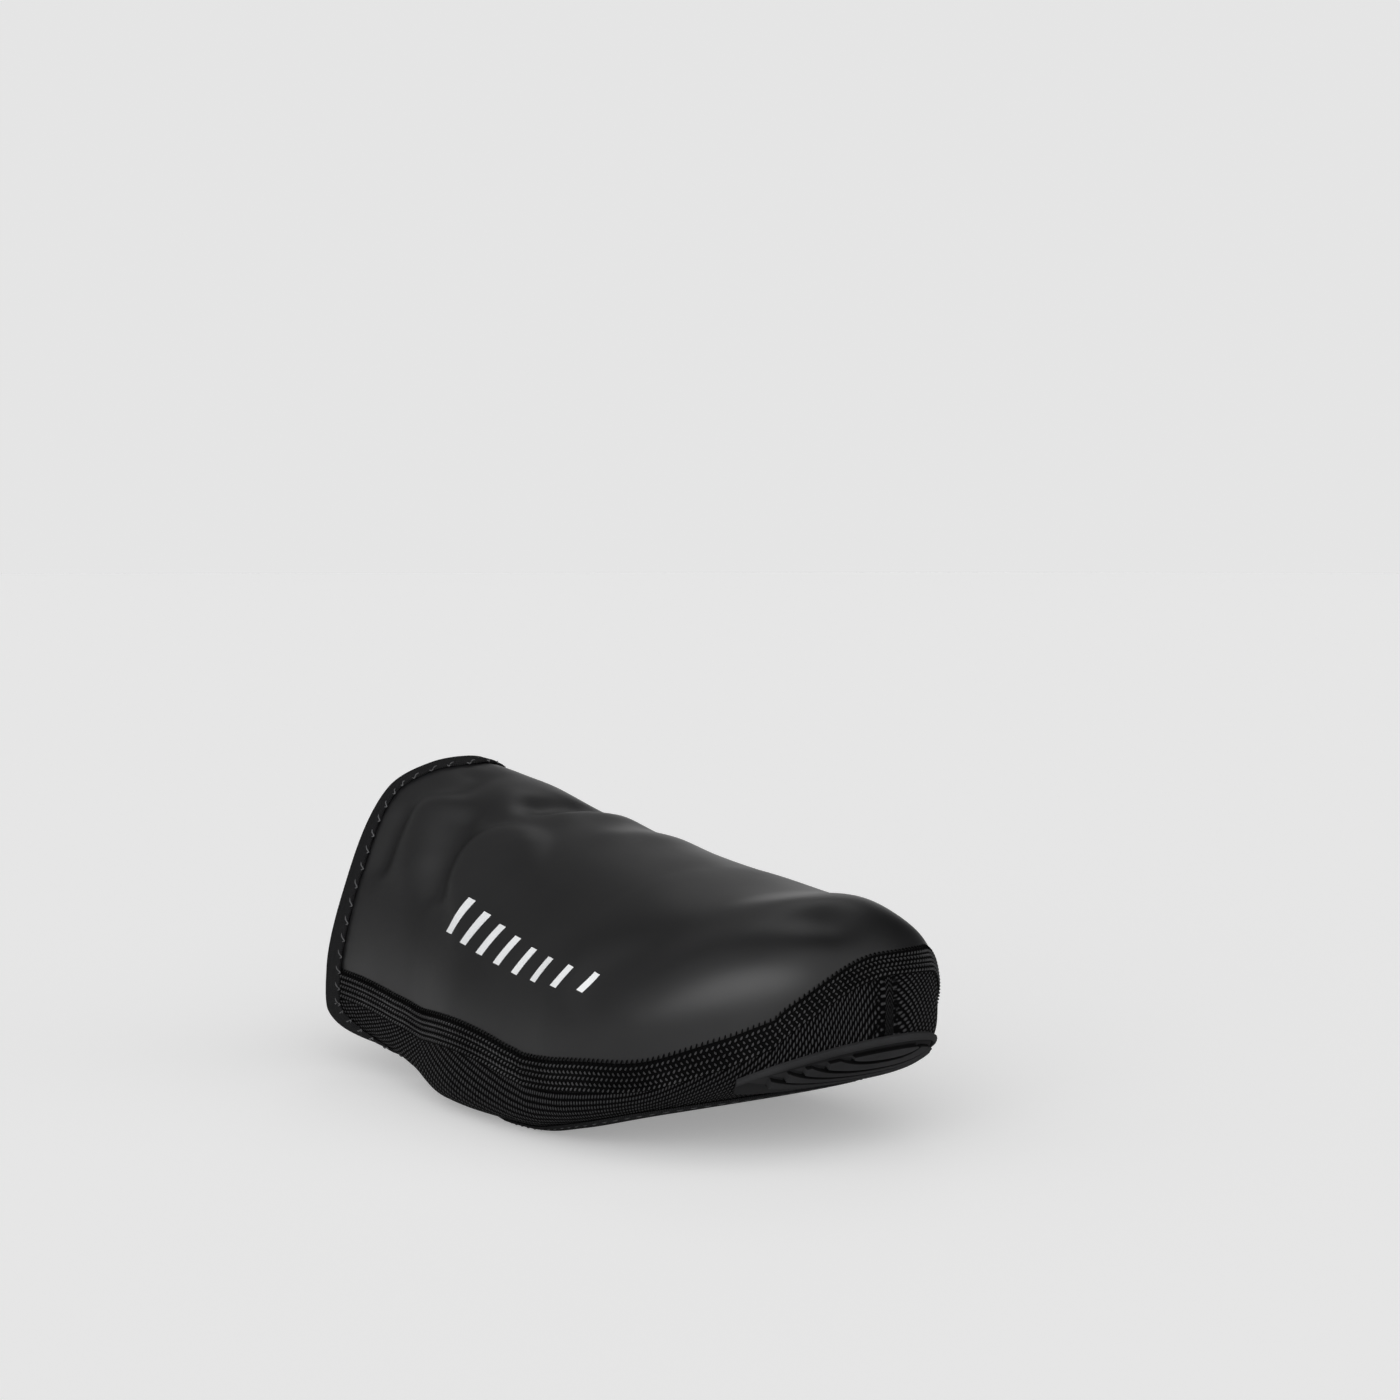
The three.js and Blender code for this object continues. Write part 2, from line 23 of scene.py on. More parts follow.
import bmesh
import bpy
import numpy as np
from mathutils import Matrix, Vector

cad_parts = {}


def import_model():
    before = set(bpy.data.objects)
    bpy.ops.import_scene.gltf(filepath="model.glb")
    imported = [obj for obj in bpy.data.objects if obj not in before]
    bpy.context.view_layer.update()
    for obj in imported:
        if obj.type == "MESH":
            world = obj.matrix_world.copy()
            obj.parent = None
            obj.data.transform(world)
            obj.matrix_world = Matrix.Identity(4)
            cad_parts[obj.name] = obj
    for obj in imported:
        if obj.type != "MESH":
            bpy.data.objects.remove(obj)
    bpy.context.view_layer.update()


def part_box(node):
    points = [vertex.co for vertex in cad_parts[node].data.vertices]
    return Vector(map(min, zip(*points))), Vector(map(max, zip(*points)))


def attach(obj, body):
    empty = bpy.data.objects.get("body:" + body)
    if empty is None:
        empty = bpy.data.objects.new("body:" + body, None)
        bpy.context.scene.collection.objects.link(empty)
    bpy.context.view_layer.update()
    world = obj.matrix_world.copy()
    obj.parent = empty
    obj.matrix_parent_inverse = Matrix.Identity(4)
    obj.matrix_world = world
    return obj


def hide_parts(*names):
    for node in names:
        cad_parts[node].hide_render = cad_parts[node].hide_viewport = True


LOG = logging.getLogger("toe_cover")
MM = 0.001
BODY = "root"
SEAM_GAP = 0.001
Array = np.ndarray
Tone = tuple[float, float, float]


# ---- the skin ----


class PlanRow(NamedTuple):
    """Plan outline at a length x: half widths each side, and where the axis lies."""

    x: float
    lateral: float
    medial: float
    axis: float


class HeightRow(NamedTuple):
    """Heights at a length x of the sole, the widest line and the crown."""

    x: float
    sole: float
    rim: float
    crown: float


class EdgeRow(NamedTuple):
    """How far back the rear edge lies at a turn."""

    turn: float
    x: float


class SeamRow(NamedTuple):
    """Turn of the seam between the upper and the knit at a station."""

    station: float
    turn: float


class Fold(NamedTuple):
    """A swelling (or, with a negative height, a hollow) along a short line on the skin.

    A greater edge gives it steeper sides, and fade is how much of its height is gone by the end of its line.
    """

    name: str
    start: tuple[float, float]
    end: tuple[float, float]
    width: float
    height: float
    edge: float = 2.0
    fade: float = 0.0


PLAN = (
    PlanRow(-105, 38.2, 37.0, 0),
    PlanRow(-80, 40.2, 40.0, 0),
    PlanRow(-50, 44.0, 42.5, 0),
    PlanRow(-20, 49.6, 45.0, 1),
    PlanRow(20, 51.6, 46.0, 2),
)
HEIGHTS = (
    HeightRow(-105, 7.0, 27.6, 86.4),
    HeightRow(-80, 6.6, 26.6, 83.6),
    HeightRow(-52, 2.0, 23.4, 77.4),
    HeightRow(-36, -2.4, 20.4, 73.4),
    HeightRow(3, -1.6, 19.4, 66.2),
    HeightRow(22, 2.2, 22.4, 63.0),
    HeightRow(45, 8.8, 28.6, 60.4),
    HeightRow(67, 15.2, 33.6, 66.0),
    HeightRow(84, 18.6, 36.0, 68.4),
)
REAR_EDGE = (
    EdgeRow(-1, -59.5),
    EdgeRow(-0.8, -60.5),
    EdgeRow(-0.66, -65.5),
    EdgeRow(-0.57, -74),
    EdgeRow(-0.5, -84),
    EdgeRow(-0.42, -92.7),
    EdgeRow(-0.3, -96.7),
    EdgeRow(0, -96.0),
    EdgeRow(0.33, -92.4),
    EdgeRow(0.66, -94.2),
    EdgeRow(0.85, -89.0),
    EdgeRow(1, -86.4),
)
SEAM = (
    SeamRow(-2.17, 0.0),
    SeamRow(-1.8, 0.01),
    SeamRow(-1.41, 0.055),
    SeamRow(-1.12, 0.015),
    SeamRow(-0.94, -0.07),
    SeamRow(-0.68, -0.2),
    SeamRow(-0.5, -0.13),
    SeamRow(-0.3, 0.03),
    SeamRow(0.0, 0.19),
    SeamRow(0.25, 0.19),
    SeamRow(0.5, 0.02),
    SeamRow(0.72, -0.12),
    SeamRow(1.0, -0.05),
    SeamRow(1.41, 0.05),
    SeamRow(2.17, 0.0),
)
FOLDS = (
    Fold("front dial", (-1.52, 0.6), (-1.36, 0.42), 14, 2.6, 6, 1),
    Fold("hollow between the dials", (-1.74, 0.66), (-1.68, 0.4), 5.5, -1.9),
    Fold("rear dial", (-1.88, 0.64), (-1.83, 0.48), 9, 3.4, 2.4, 0.4),
    Fold("hollow behind the rear dial", (-2.01, 0.56), (-2.0, 0.4), 5.5, -2.2),
    Fold("hollow of the instep", (-1.92, 0.9), (-1.9, 0.78), 7, -2.2),
    Fold("hump on the instep", (1.78, 0.88), (-1.74, 0.94), 9, 0.7),
    Fold("step on the instep", (1.6, 0.9), (-1.62, 0.94), 6, -2.2),
    Fold("second hump", (1.5, 0.84), (-1.5, 0.96), 7, 1.2),
    Fold("third hump", (1.28, 0.84), (-1.3, 0.96), 8, 0.9),
    Fold("lateral valley of the toe", (-0.86, 0.26), (-0.12, 0.42), 8, -1.8),
    Fold("lateral shoulder of the toe", (-0.7, 0.06), (-0.26, 0.2), 9, 0.9),
    Fold("medial valley of the toe", (0.78, 0.3), (0.4, 0.42), 8, -1.5),
    Fold("medial dial", (1.5, 0.6), (1.56, 0.54), 9, 1.6),
    Fold("medial hollow", (1.8, 0.5), (1.86, 0.36), 8, -1.2),
)


class Curve:
    """A smooth curve through a few knots, with no overshoot between them."""

    def __init__(self, xs: Sequence[float], ys: Sequence[float], level_ends: bool = False) -> None:
        """Works out the slopes at the knots.

        Args:
            xs: Places of the knots, rising.
            ys: Values at the knots.
            level_ends: Whether the curve arrives level at its two ends.
        """
        self.xs, self.ys = np.asarray(xs, float), np.asarray(ys, float)
        run = np.diff(self.xs)
        rise = np.diff(self.ys) / run
        self.slope = np.zeros_like(self.ys)
        share = run[1:] / (run[1:] + run[:-1])
        same = rise[:-1] * rise[1:] > 0
        before, after = rise[:-1][same], rise[1:][same]
        self.slope[1:-1][same] = 1 / (share[same] / before + (1 - share[same]) / after)
        if not level_ends:
            self.slope[0], self.slope[-1] = rise[0], rise[-1]

    def __call__(self, value: Array | float) -> Array:
        """Reads the curve, which stays level past its two ends.

        Args:
            value: Places at which to read it.

        Returns:
            The curve's values there.
        """
        x = np.clip(value, self.xs[0], self.xs[-1])
        i = np.clip(np.searchsorted(self.xs, x) - 1, 0, len(self.xs) - 2)
        run = self.xs[i + 1] - self.xs[i]
        s = (x - self.xs[i]) / run
        a = 2 * s**3 - 3 * s**2 + 1
        bend = (s**3 - 2 * s**2 + s) * self.slope[i] + (s**3 - s**2) * self.slope[i + 1]
        return a * self.ys[i] + (1 - a) * self.ys[i + 1] + run * bend


def column(rows: Sequence[NamedTuple], key: str, value: str, level_ends: bool = False) -> Curve:
    """A curve through one column of a table."""
    return Curve([getattr(r, key) for r in rows], [getattr(r, value) for r in rows], level_ends)


@dataclass
class Skin:
    """The outer face of the whole cover, as a surface of station and turn."""

    ball_x: float = 20.0
    tip_x: float = 84.0
    toe_squareness: float = 2.2
    toe_shift: float = 3.6
    sole_squareness: float = 4.5
    width_roundness: tuple[float, float] = (2.02, 2.36)
    height_roundness: tuple[float, float] = (1.72, 2.48)
    rest_level: float = 0.0
    normal_step: float = 0.004
    slope_step: float = 0.003
    origin: Array = field(default_factory=lambda: np.zeros(3))

    def __post_init__(self) -> None:
        """Makes the curves of the tables and the lines of the folds."""
        self.lateral = column(PLAN, "x", "lateral")
        self.medial = column(PLAN, "x", "medial")
        self.axis = column(PLAN, "x", "axis")
        self.sole = column(HEIGHTS, "x", "sole")
        self.rim = column(HEIGHTS, "x", "rim")
        self.crown = column(HEIGHTS, "x", "crown")
        self.rear = column(REAR_EDGE, "turn", "x", level_ends=True)
        self.seam = column(SEAM, "station", "turn")
        self.fold_lines = [
            (self.smooth(np.array([f.start[0], f.end[0]]), np.array([f.start[1], f.end[1]])), f)
            for f in FOLDS
        ]

    def station_at(self, x: Array | float) -> Array:
        """The station of a length x behind the ball."""
        return 1 + (self.ball_x - x) / 100

    def plan(self, station: Array) -> tuple[Array, Array, Array, Array]:
        """Plan places at stations.

        Args:
            station: Stations.

        Returns:
            x and y of the axis, and x and y of the widest line.
        """
        reach = np.abs(station)
        side = np.where(station < 0, -1.0, 1.0)
        x = self.ball_x - np.maximum(reach - 1, 0) * 100
        half = np.where(station < 0, self.lateral(x), self.medial(x))
        angle = np.minimum(reach, 1) * math.pi / 2
        forward = np.clip(np.cos(angle), 0, 1) ** (2 / self.toe_squareness)
        sideways = np.sin(angle) ** (2 / self.toe_squareness)
        toe = reach < 1
        rim_x = np.where(toe, self.ball_x + (self.tip_x - self.ball_x) * forward, x)
        rim_y = np.where(toe, side * half * sideways + self.toe_shift * forward**2, side * half)
        return x, self.axis(x), rim_x, rim_y

    def section(self, turn: Array, x: Array) -> tuple[Array, Array]:
        """How a turn lies in the section at a length x.

        Args:
            turn: Turns.
            x: Lengths of the sections.

        Returns:
            The share of the way out to the widest line, and of the way up or down to the centre line.
        """
        angle = np.minimum(np.abs(turn), 1) * math.pi / 2
        c, s = np.clip(np.cos(angle), 0, 1), np.sin(angle)
        first = HEIGHTS[0].x
        along = np.clip((x - first) / (self.tip_x - first), 0, 1)
        wide, high = (
            rear + (toe - rear) * along for rear, toe in (self.width_roundness, self.height_roundness)
        )
        p = self.sole_squareness
        scale = (c**p + s**p) ** (-1 / p)
        upper = turn >= 0
        return np.where(upper, c ** (2 / wide), c * scale), np.where(upper, s ** (2 / high), s * scale)

    def out_to_turn(self, out: Array | float) -> Array:
        """The turn on the sole at a share of the way out to the widest line."""
        p = self.sole_squareness
        return -2 / math.pi * np.arctan2((1 - np.asarray(out) ** p) ** (1 / p), out)

    def smooth(self, station: Array, turn: Array) -> Array:
        """Points of the skin without its folds.

        Args:
            station: Stations.
            turn: Turns.

        Returns:
            The points, with a last axis of x, y and z.
        """
        station, turn = np.broadcast_arrays(np.asarray(station, float), np.asarray(turn, float))
        axis_x, axis_y, rim_x, rim_y = self.plan(station)
        out, climb = self.section(turn, rim_x)
        x = axis_x + (rim_x - axis_x) * out
        y = axis_y + (rim_y - axis_y) * out
        end = np.where(turn >= 0, self.crown(x), self.sole(x))
        start = self.rim(rim_x)
        z = np.maximum(start + (end - start) * climb, self.rest_level)
        return np.stack([x, y, z], -1)

    def normal_of(self, surface: Callable[[Array, Array], Array], station: Array, turn: Array) -> Array:
        """Outward normals of a surface of station and turn.

        Args:
            surface: What gives the surface's points.
            station: Stations.
            turn: Turns.

        Returns:
            The normals.
        """
        step = self.normal_step
        t = np.clip(turn, -1 + 2 * step, 1 - 2 * step)
        along = surface(station + step, t) - surface(station - step, t)
        around = surface(station, t + step) - surface(station, t - step)
        return unit(np.cross(along, around))

    def swelling(self, points: Array) -> Array:
        """How far the folds swell the skin.

        Args:
            points: Points of the skin without its folds.

        Returns:
            The swelling at each point, in millimetres.
        """
        total = np.zeros(points.shape[:-1])
        for line, fold in self.fold_lines:
            run = line[1] - line[0]
            share = np.clip((points - line[0]) @ run / (run @ run), 0, 1)
            away = np.linalg.norm(points - line[0] - share[..., None] * run, axis=-1)
            total += fold.height * (1 - fold.fade * share) * np.exp(-((away / fold.width) ** fold.edge))
        return total

    def point(self, station: Array, turn: Array) -> Array:
        """Points of the skin.

        Args:
            station: Stations.
            turn: Turns.

        Returns:
            The points.
        """
        station, turn = np.asarray(station, float), np.asarray(turn, float)
        base = self.smooth(station, turn)
        return base + self.swelling(base)[..., None] * self.normal_of(self.smooth, station, turn)

    def normal(self, station: Array, turn: Array) -> Array:
        """Outward normals of the skin."""
        return self.normal_of(self.point, np.asarray(station, float), np.asarray(turn, float))

    def outside(self, station: Array, turn: Array, distance: Array | float) -> Array:
        """Points a distance outside the skin. Past the crown or sole line they cross to the other side.

        Args:
            station: Stations.
            turn: Turns, which may pass 1 or -1.
            distance: Distances outside the skin, negative inside it.

        Returns:
            The points.
        """
        station, turn, distance = np.broadcast_arrays(station, turn, distance)
        past = np.abs(turn) > 1
        station = np.where(past, -station, station)
        turn = np.where(past, np.sign(turn) * 2 - turn, turn)
        return self.point(station, turn) + distance[..., None] * self.normal(station, turn)

    def steps(self, station: Array, turn: Array, direction: Array) -> tuple[Array, Array]:
        """Changes of station and turn for each millimetre along directions that lie in the skin.

        Args:
            station: Stations.
            turn: Turns.
            direction: Directions of length one.

        Returns:
            The changes of station and of turn.
        """
        step = self.slope_step
        t = np.clip(turn, -1 + 2 * step, 1 - 2 * step)
        by_station = (self.point(station + step, t) - self.point(station - step, t)) / (2 * step)
        by_turn = (self.point(station, t + step) - self.point(station, t - step)) / (2 * step)
        uu, uv, vv = dot(by_station, by_station), dot(by_station, by_turn), dot(by_turn, by_turn)
        iu, iv = dot(direction, by_station), dot(direction, by_turn)
        det = uu * vv - uv * uv
        return (iu * vv - iv * uv) / det, (iv * uu - iu * uv) / det

    def seat(self) -> None:
        """Moves the skin onto the frame, from the boxes of the upper and of the knit."""
        station = np.linspace(-1.6, 1.6, 321)
        outline = self.point(station, np.maximum(self.seam(station), 0))
        low, high = (np.array(corner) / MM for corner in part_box("upper_shell"))
        knit_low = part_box("sole_rand")[0].z / MM
        middle = (outline[:, 1].min() + outline[:, 1].max() - low[1] - high[1]) / 2
        self.origin = np.array([outline[:, 0].max() - high[0], middle, self.rest_level - knit_low])

    def metres(self, points: Array) -> Array:
        """Points of the skin as places in the frame."""
        return (points - self.origin) * MM


def unit(vectors: Array) -> Array:
    """Vectors of length one."""
    return vectors / np.maximum(np.linalg.norm(vectors, axis=-1, keepdims=True), 1e-12)


def dot(a: Array, b: Array) -> Array:
    """Dot products along the last axis."""
    return (a * b).sum(-1)


def lerp(a: Array | float, b: Array | float, share: Array | float) -> Array | float:
    """The value a share of the way from a to b."""
    return a + (b - a) * share


# ---- meshes ----


def grid_faces(rows: int, columns: int, closed: tuple[bool, bool] = (False, False)) -> Array:
    """Quads of a grid of numbered corners.

    Args:
        rows: Corners down the grid.
        columns: Corners across the grid.
        closed: Whether the last row joins the first, and the last column the first.

    Returns:
        Four corner numbers for each quad.
    """
    numbers = np.arange(rows * columns).reshape(rows, columns)
    if closed[0]:
        numbers = np.vstack([numbers, numbers[:1]])
    if closed[1]:
        numbers = np.hstack([numbers, numbers[:, :1]])
    a, b = numbers[:-1, :-1], numbers[:-1, 1:]
    d, c = numbers[1:, :-1], numbers[1:, 1:]
    return np.stack([a, b, c, d], -1).reshape(-1, 4)


def slab_faces(rows: int, columns: int) -> list[list[int]]:
    """Faces of a closed slab, whose corners are a grid of outer ones and then the same grid of inner ones.

    Args:
        rows: Corners down each grid.
        columns: Corners across each grid.

    Returns:
        The corner numbers of each face.
    """
    count = rows * columns
    quads = grid_faces(rows, columns)
    number = np.arange(count).reshape(rows, columns)
    loop = np.concatenate([number[0], number[1:, -1], number[-1, -2::-1], number[-2:0:-1, 0]])
    sides = [[p, q, q + count, p + count] for p, q in zip(loop, np.roll(loop, -1))]
    return quads.tolist() + (quads[:, ::-1] + count).tolist() + sides


def make_object(
    name: str,
    points: Array,
    faces: Sequence[Sequence[int]],
    attributes: dict[str, Array] | None = None,
    sharp_degrees: float = 60.0,
    tidy_normals: bool = True,
) -> bpy.types.Object:
    """A smooth-shaded mesh object.

    Args:
        name: Name of the object.
        points: Places of the corners, in metres.
        faces: Corner numbers of each face.
        attributes: Vectors for each corner that the finishes read, by name.
        sharp_degrees: Edges that bend more than this stay sharp.
        tidy_normals: Whether the faces are turned to point out of the closed mesh.

    Returns:
        The new object, in the scene.
    """
    mesh = bpy.data.meshes.new(name)
    mesh.from_pydata(points.tolist(), [], [list(f) for f in faces])
    for key, values in (attributes or {}).items():
        layer = mesh.attributes.new(key, "FLOAT_VECTOR", "POINT")
        layer.data.foreach_set("vector", np.asarray(values, np.float32).ravel())
    if tidy_normals:
        work = bmesh.new()
        work.from_mesh(mesh)
        bmesh.ops.recalc_face_normals(work, faces=work.faces)
        work.to_mesh(mesh)
        work.free()
    mesh.polygons.foreach_set("use_smooth", [True] * len(mesh.polygons))
    mesh.set_sharp_from_angle(angle=math.radians(sharp_degrees))
    thing = bpy.data.objects.new(name, mesh)
    bpy.context.scene.collection.objects.link(thing)
    return thing


@dataclass
class ClothWall:
    """A wall of cloth of even thickness under the skin, from a grid of station and turn."""

    skin: Skin
    station: Array
    turn: Array
    thickness: float
    lift: float = 0.0

    def build(self, name: str, flow: Array | None = None) -> bpy.types.Object:
        """The closed mesh, with the inner face in material slot 1.

        Args:
            name: Name of the object.
            flow: A vector for each cell of the grid, kept as the attribute flow.

        Returns:
            The wall.
        """
        on_line = np.abs(self.turn) >= 1
        station = np.where(on_line, np.maximum(np.abs(self.station), 1), self.station)
        outer = self.skin.outside(station, self.turn, self.lift).reshape(-1, 3)
        inner = self.skin.outside(station, self.turn, self.lift - self.thickness).reshape(-1, 3)
        _, first, number = np.unique(outer.round(5), axis=0, return_index=True, return_inverse=True)
        number = number.ravel()
        faces = []
        for quad in number[grid_faces(*self.station.shape)]:
            corners = list(dict.fromkeys(quad.tolist()))
            if len(corners) > 2:
                faces.append(corners)
        count = len(first)
        edges: dict[tuple[int, int], tuple[int, int]] = {}
        for face in faces:
            for p, q in zip(face, face[1:] + face[:1]):
                if edges.pop((q, p), None) is None:
                    edges[p, q] = (p, q)
        back = [[p + count for p in reversed(face)] for face in faces]
        rims = [[q, p, p + count, q + count] for p, q in edges.values()]
        points = self.skin.metres(np.vstack([outer[first], inner[first]]))
        attributes = {}
        if flow is not None:
            kept = flow.reshape(-1, 3)[first]
            attributes["flow"] = np.vstack([kept, kept])
        wall = make_object(name, points, faces + back + rims, attributes)
        inside = np.zeros(len(wall.data.polygons), np.int32)
        inside[len(faces) : len(faces) + len(back)] = 1
        wall.data.polygons.foreach_set("material_index", inside)
        return wall


def thread_object(
    name: str, paths: Array, normals: Array, radius: float, flatness: float = 1.0, sides: int = 5
) -> bpy.types.Object:
    """Short threads as closed tubes with rounded ends, joined in one mesh.

    Args:
        name: Name of the object.
        paths: Points of each thread's centre line, in millimetres: threads, points, xyz.
        normals: The skin's normal at each point.
        radius: Half the thickness, in millimetres.
        flatness: Height of a section as a share of its width.
        sides: Sides of a section.

    Returns:
        The threads, in metres.
    """
    count, length, _ = paths.shape
    tangent = unit(np.gradient(paths, axis=1))
    across = unit(np.cross(tangent, normals))
    up = unit(np.cross(across, tangent))
    angle = np.arange(sides) / sides * 2 * math.pi
    place = np.linspace(-1, 1, length)
    width = radius * np.sqrt(np.clip(1 - np.abs(place) ** 5, 0.06, 1))
    around = (
        np.cos(angle)[None, None, :, None] * across[:, :, None]
        + flatness * np.sin(angle)[None, None, :, None] * up[:, :, None]
    )
    points = paths[:, :, None] + width[None, :, None, None] * around
    ring_faces = grid_faces(length, sides, (False, True))
    start = np.arange(sides)[::-1]
    ends = [start.tolist(), (start[::-1] + (length - 1) * sides).tolist()]
    faces = []
    for i in range(count):
        shift = i * length * sides
        faces += (ring_faces + shift).tolist()
        faces += [[p + shift for p in end] for end in ends]
    return make_object(name, points.reshape(-1, 3) * MM, faces, sharp_degrees=80)


# ---- shader groups ----


class Nodes:
    """A node tree under construction."""

    def __init__(self, tree: bpy.types.NodeTree) -> None:
        """Keeps the tree that the nodes go in."""
        self.tree = tree

    def add(
        self, kind: str, inputs: dict[str | int, object] | None = None, **settings: object
    ) -> bpy.types.Node:
        """A node of the tree.

        Args:
            kind: Its bpy type.
            inputs: Values or sockets for its inputs, by name or number.
            **settings: Properties to set on it first.

        Returns:
            The node.
        """
        node = self.tree.nodes.new(kind)
        for key, value in settings.items():
            setattr(node, key, value)
        for key, value in (inputs or {}).items():
            self.feed(node.inputs[key], value)
        return node

    def feed(self, socket: bpy.types.NodeSocket, value: object) -> None:
        """Links a socket or signal to an input, or sets the input's own value.

        Args:
            socket: The input.
            value: A socket, a signal or a plain value.
        """
        if isinstance(value, Signal):
            value = value.socket
        if isinstance(value, bpy.types.NodeSocket):
            self.tree.links.new(value, socket)
        else:
            socket.default_value = value

    def signal(
        self,
        kind: str,
        output: str | int,
        inputs: dict[str | int, object] | None = None,
        **settings: object,
    ) -> Signal:
        """One output of a new node, as a signal."""
        return Signal(self, self.add(kind, inputs, **settings).outputs[output])

    def ramp(
        self, value: object, low: float, high: float, start: float = 0.0, end: float = 1.0
    ) -> Signal:
        """A smooth change from start to end as a value goes from low to high."""
        inputs = {0: value, 1: low, 2: high, 3: start, 4: end}
        return self.signal("ShaderNodeMapRange", 0, inputs, interpolation_type="SMOOTHSTEP")

    def blend(self, share: object, first: object, second: object) -> Signal:
        """The mix of two colours.

        Args:
            share: How much of the second there is.
            first: The first colour.
            second: The second colour.

        Returns:
            The mixed colour.
        """
        node = self.add("ShaderNodeMix", data_type="RGBA")
        for number, value in ((0, share), (6, first), (7, second)):
            self.feed(node.inputs[number], value)
        return Signal(self, node.outputs[2])

    def noise(self, scale: object, detail: float, roughness: float = 0.55) -> Signal:
        """Noise from 0 to 1 over the object's own coordinates.

        Args:
            scale: Its scale, a number or a signal.
            detail: How many finer layers it has.
            roughness: How strong the finer layers are.

        Returns:
            The noise.
        """
        where = self.signal("ShaderNodeTexCoord", "Object")
        inputs = {"Vector": where, "Scale": scale, "Detail": detail, "Roughness": roughness}
        return self.signal("ShaderNodeTexNoise", 0, inputs)


class Signal:
    """A number that changes over a surface. Arithmetic on it adds Math nodes to its tree."""

    def __init__(self, nodes: Nodes, socket: bpy.types.NodeSocket) -> None:
        """Wraps an output socket."""
        self.nodes, self.socket = nodes, socket

    def math(self, operation: str, *others: object) -> Signal:
        """The result of a Math node on this signal and other values."""
        node = self.nodes.add("ShaderNodeMath", dict(enumerate((self, *others))), operation=operation)
        return Signal(self.nodes, node.outputs[0])

    def __add__(self, other: object) -> Signal:
        """The sum."""
        return self.math("ADD", other)

    def __sub__(self, other: object) -> Signal:
        """The difference."""
        return self.math("SUBTRACT", other)

    def __mul__(self, other: object) -> Signal:
        """The product."""
        return self.math("MULTIPLY", other)

    def __truediv__(self, other: object) -> Signal:
        """The quotient."""
        return self.math("DIVIDE", other)

    def arch(self) -> Signal:
        """A row of round backs, one for each unit of the signal: 0 at whole numbers, 1 half way."""
        return (self * math.pi).math("SINE").math("ABSOLUTE")

    def wave(self) -> Signal:
        """A sine between 0 and 1 with one period for each unit of the signal."""
        return (self * (2 * math.pi)).math("SINE") * 0.5 + 0.5


class GroupKind(Enum):
    """The effects that several finishes share."""

    RIBS = "ribs of knitted stitches"
    WEAVE = "woven tape"
    GRAIN = "fine grain"


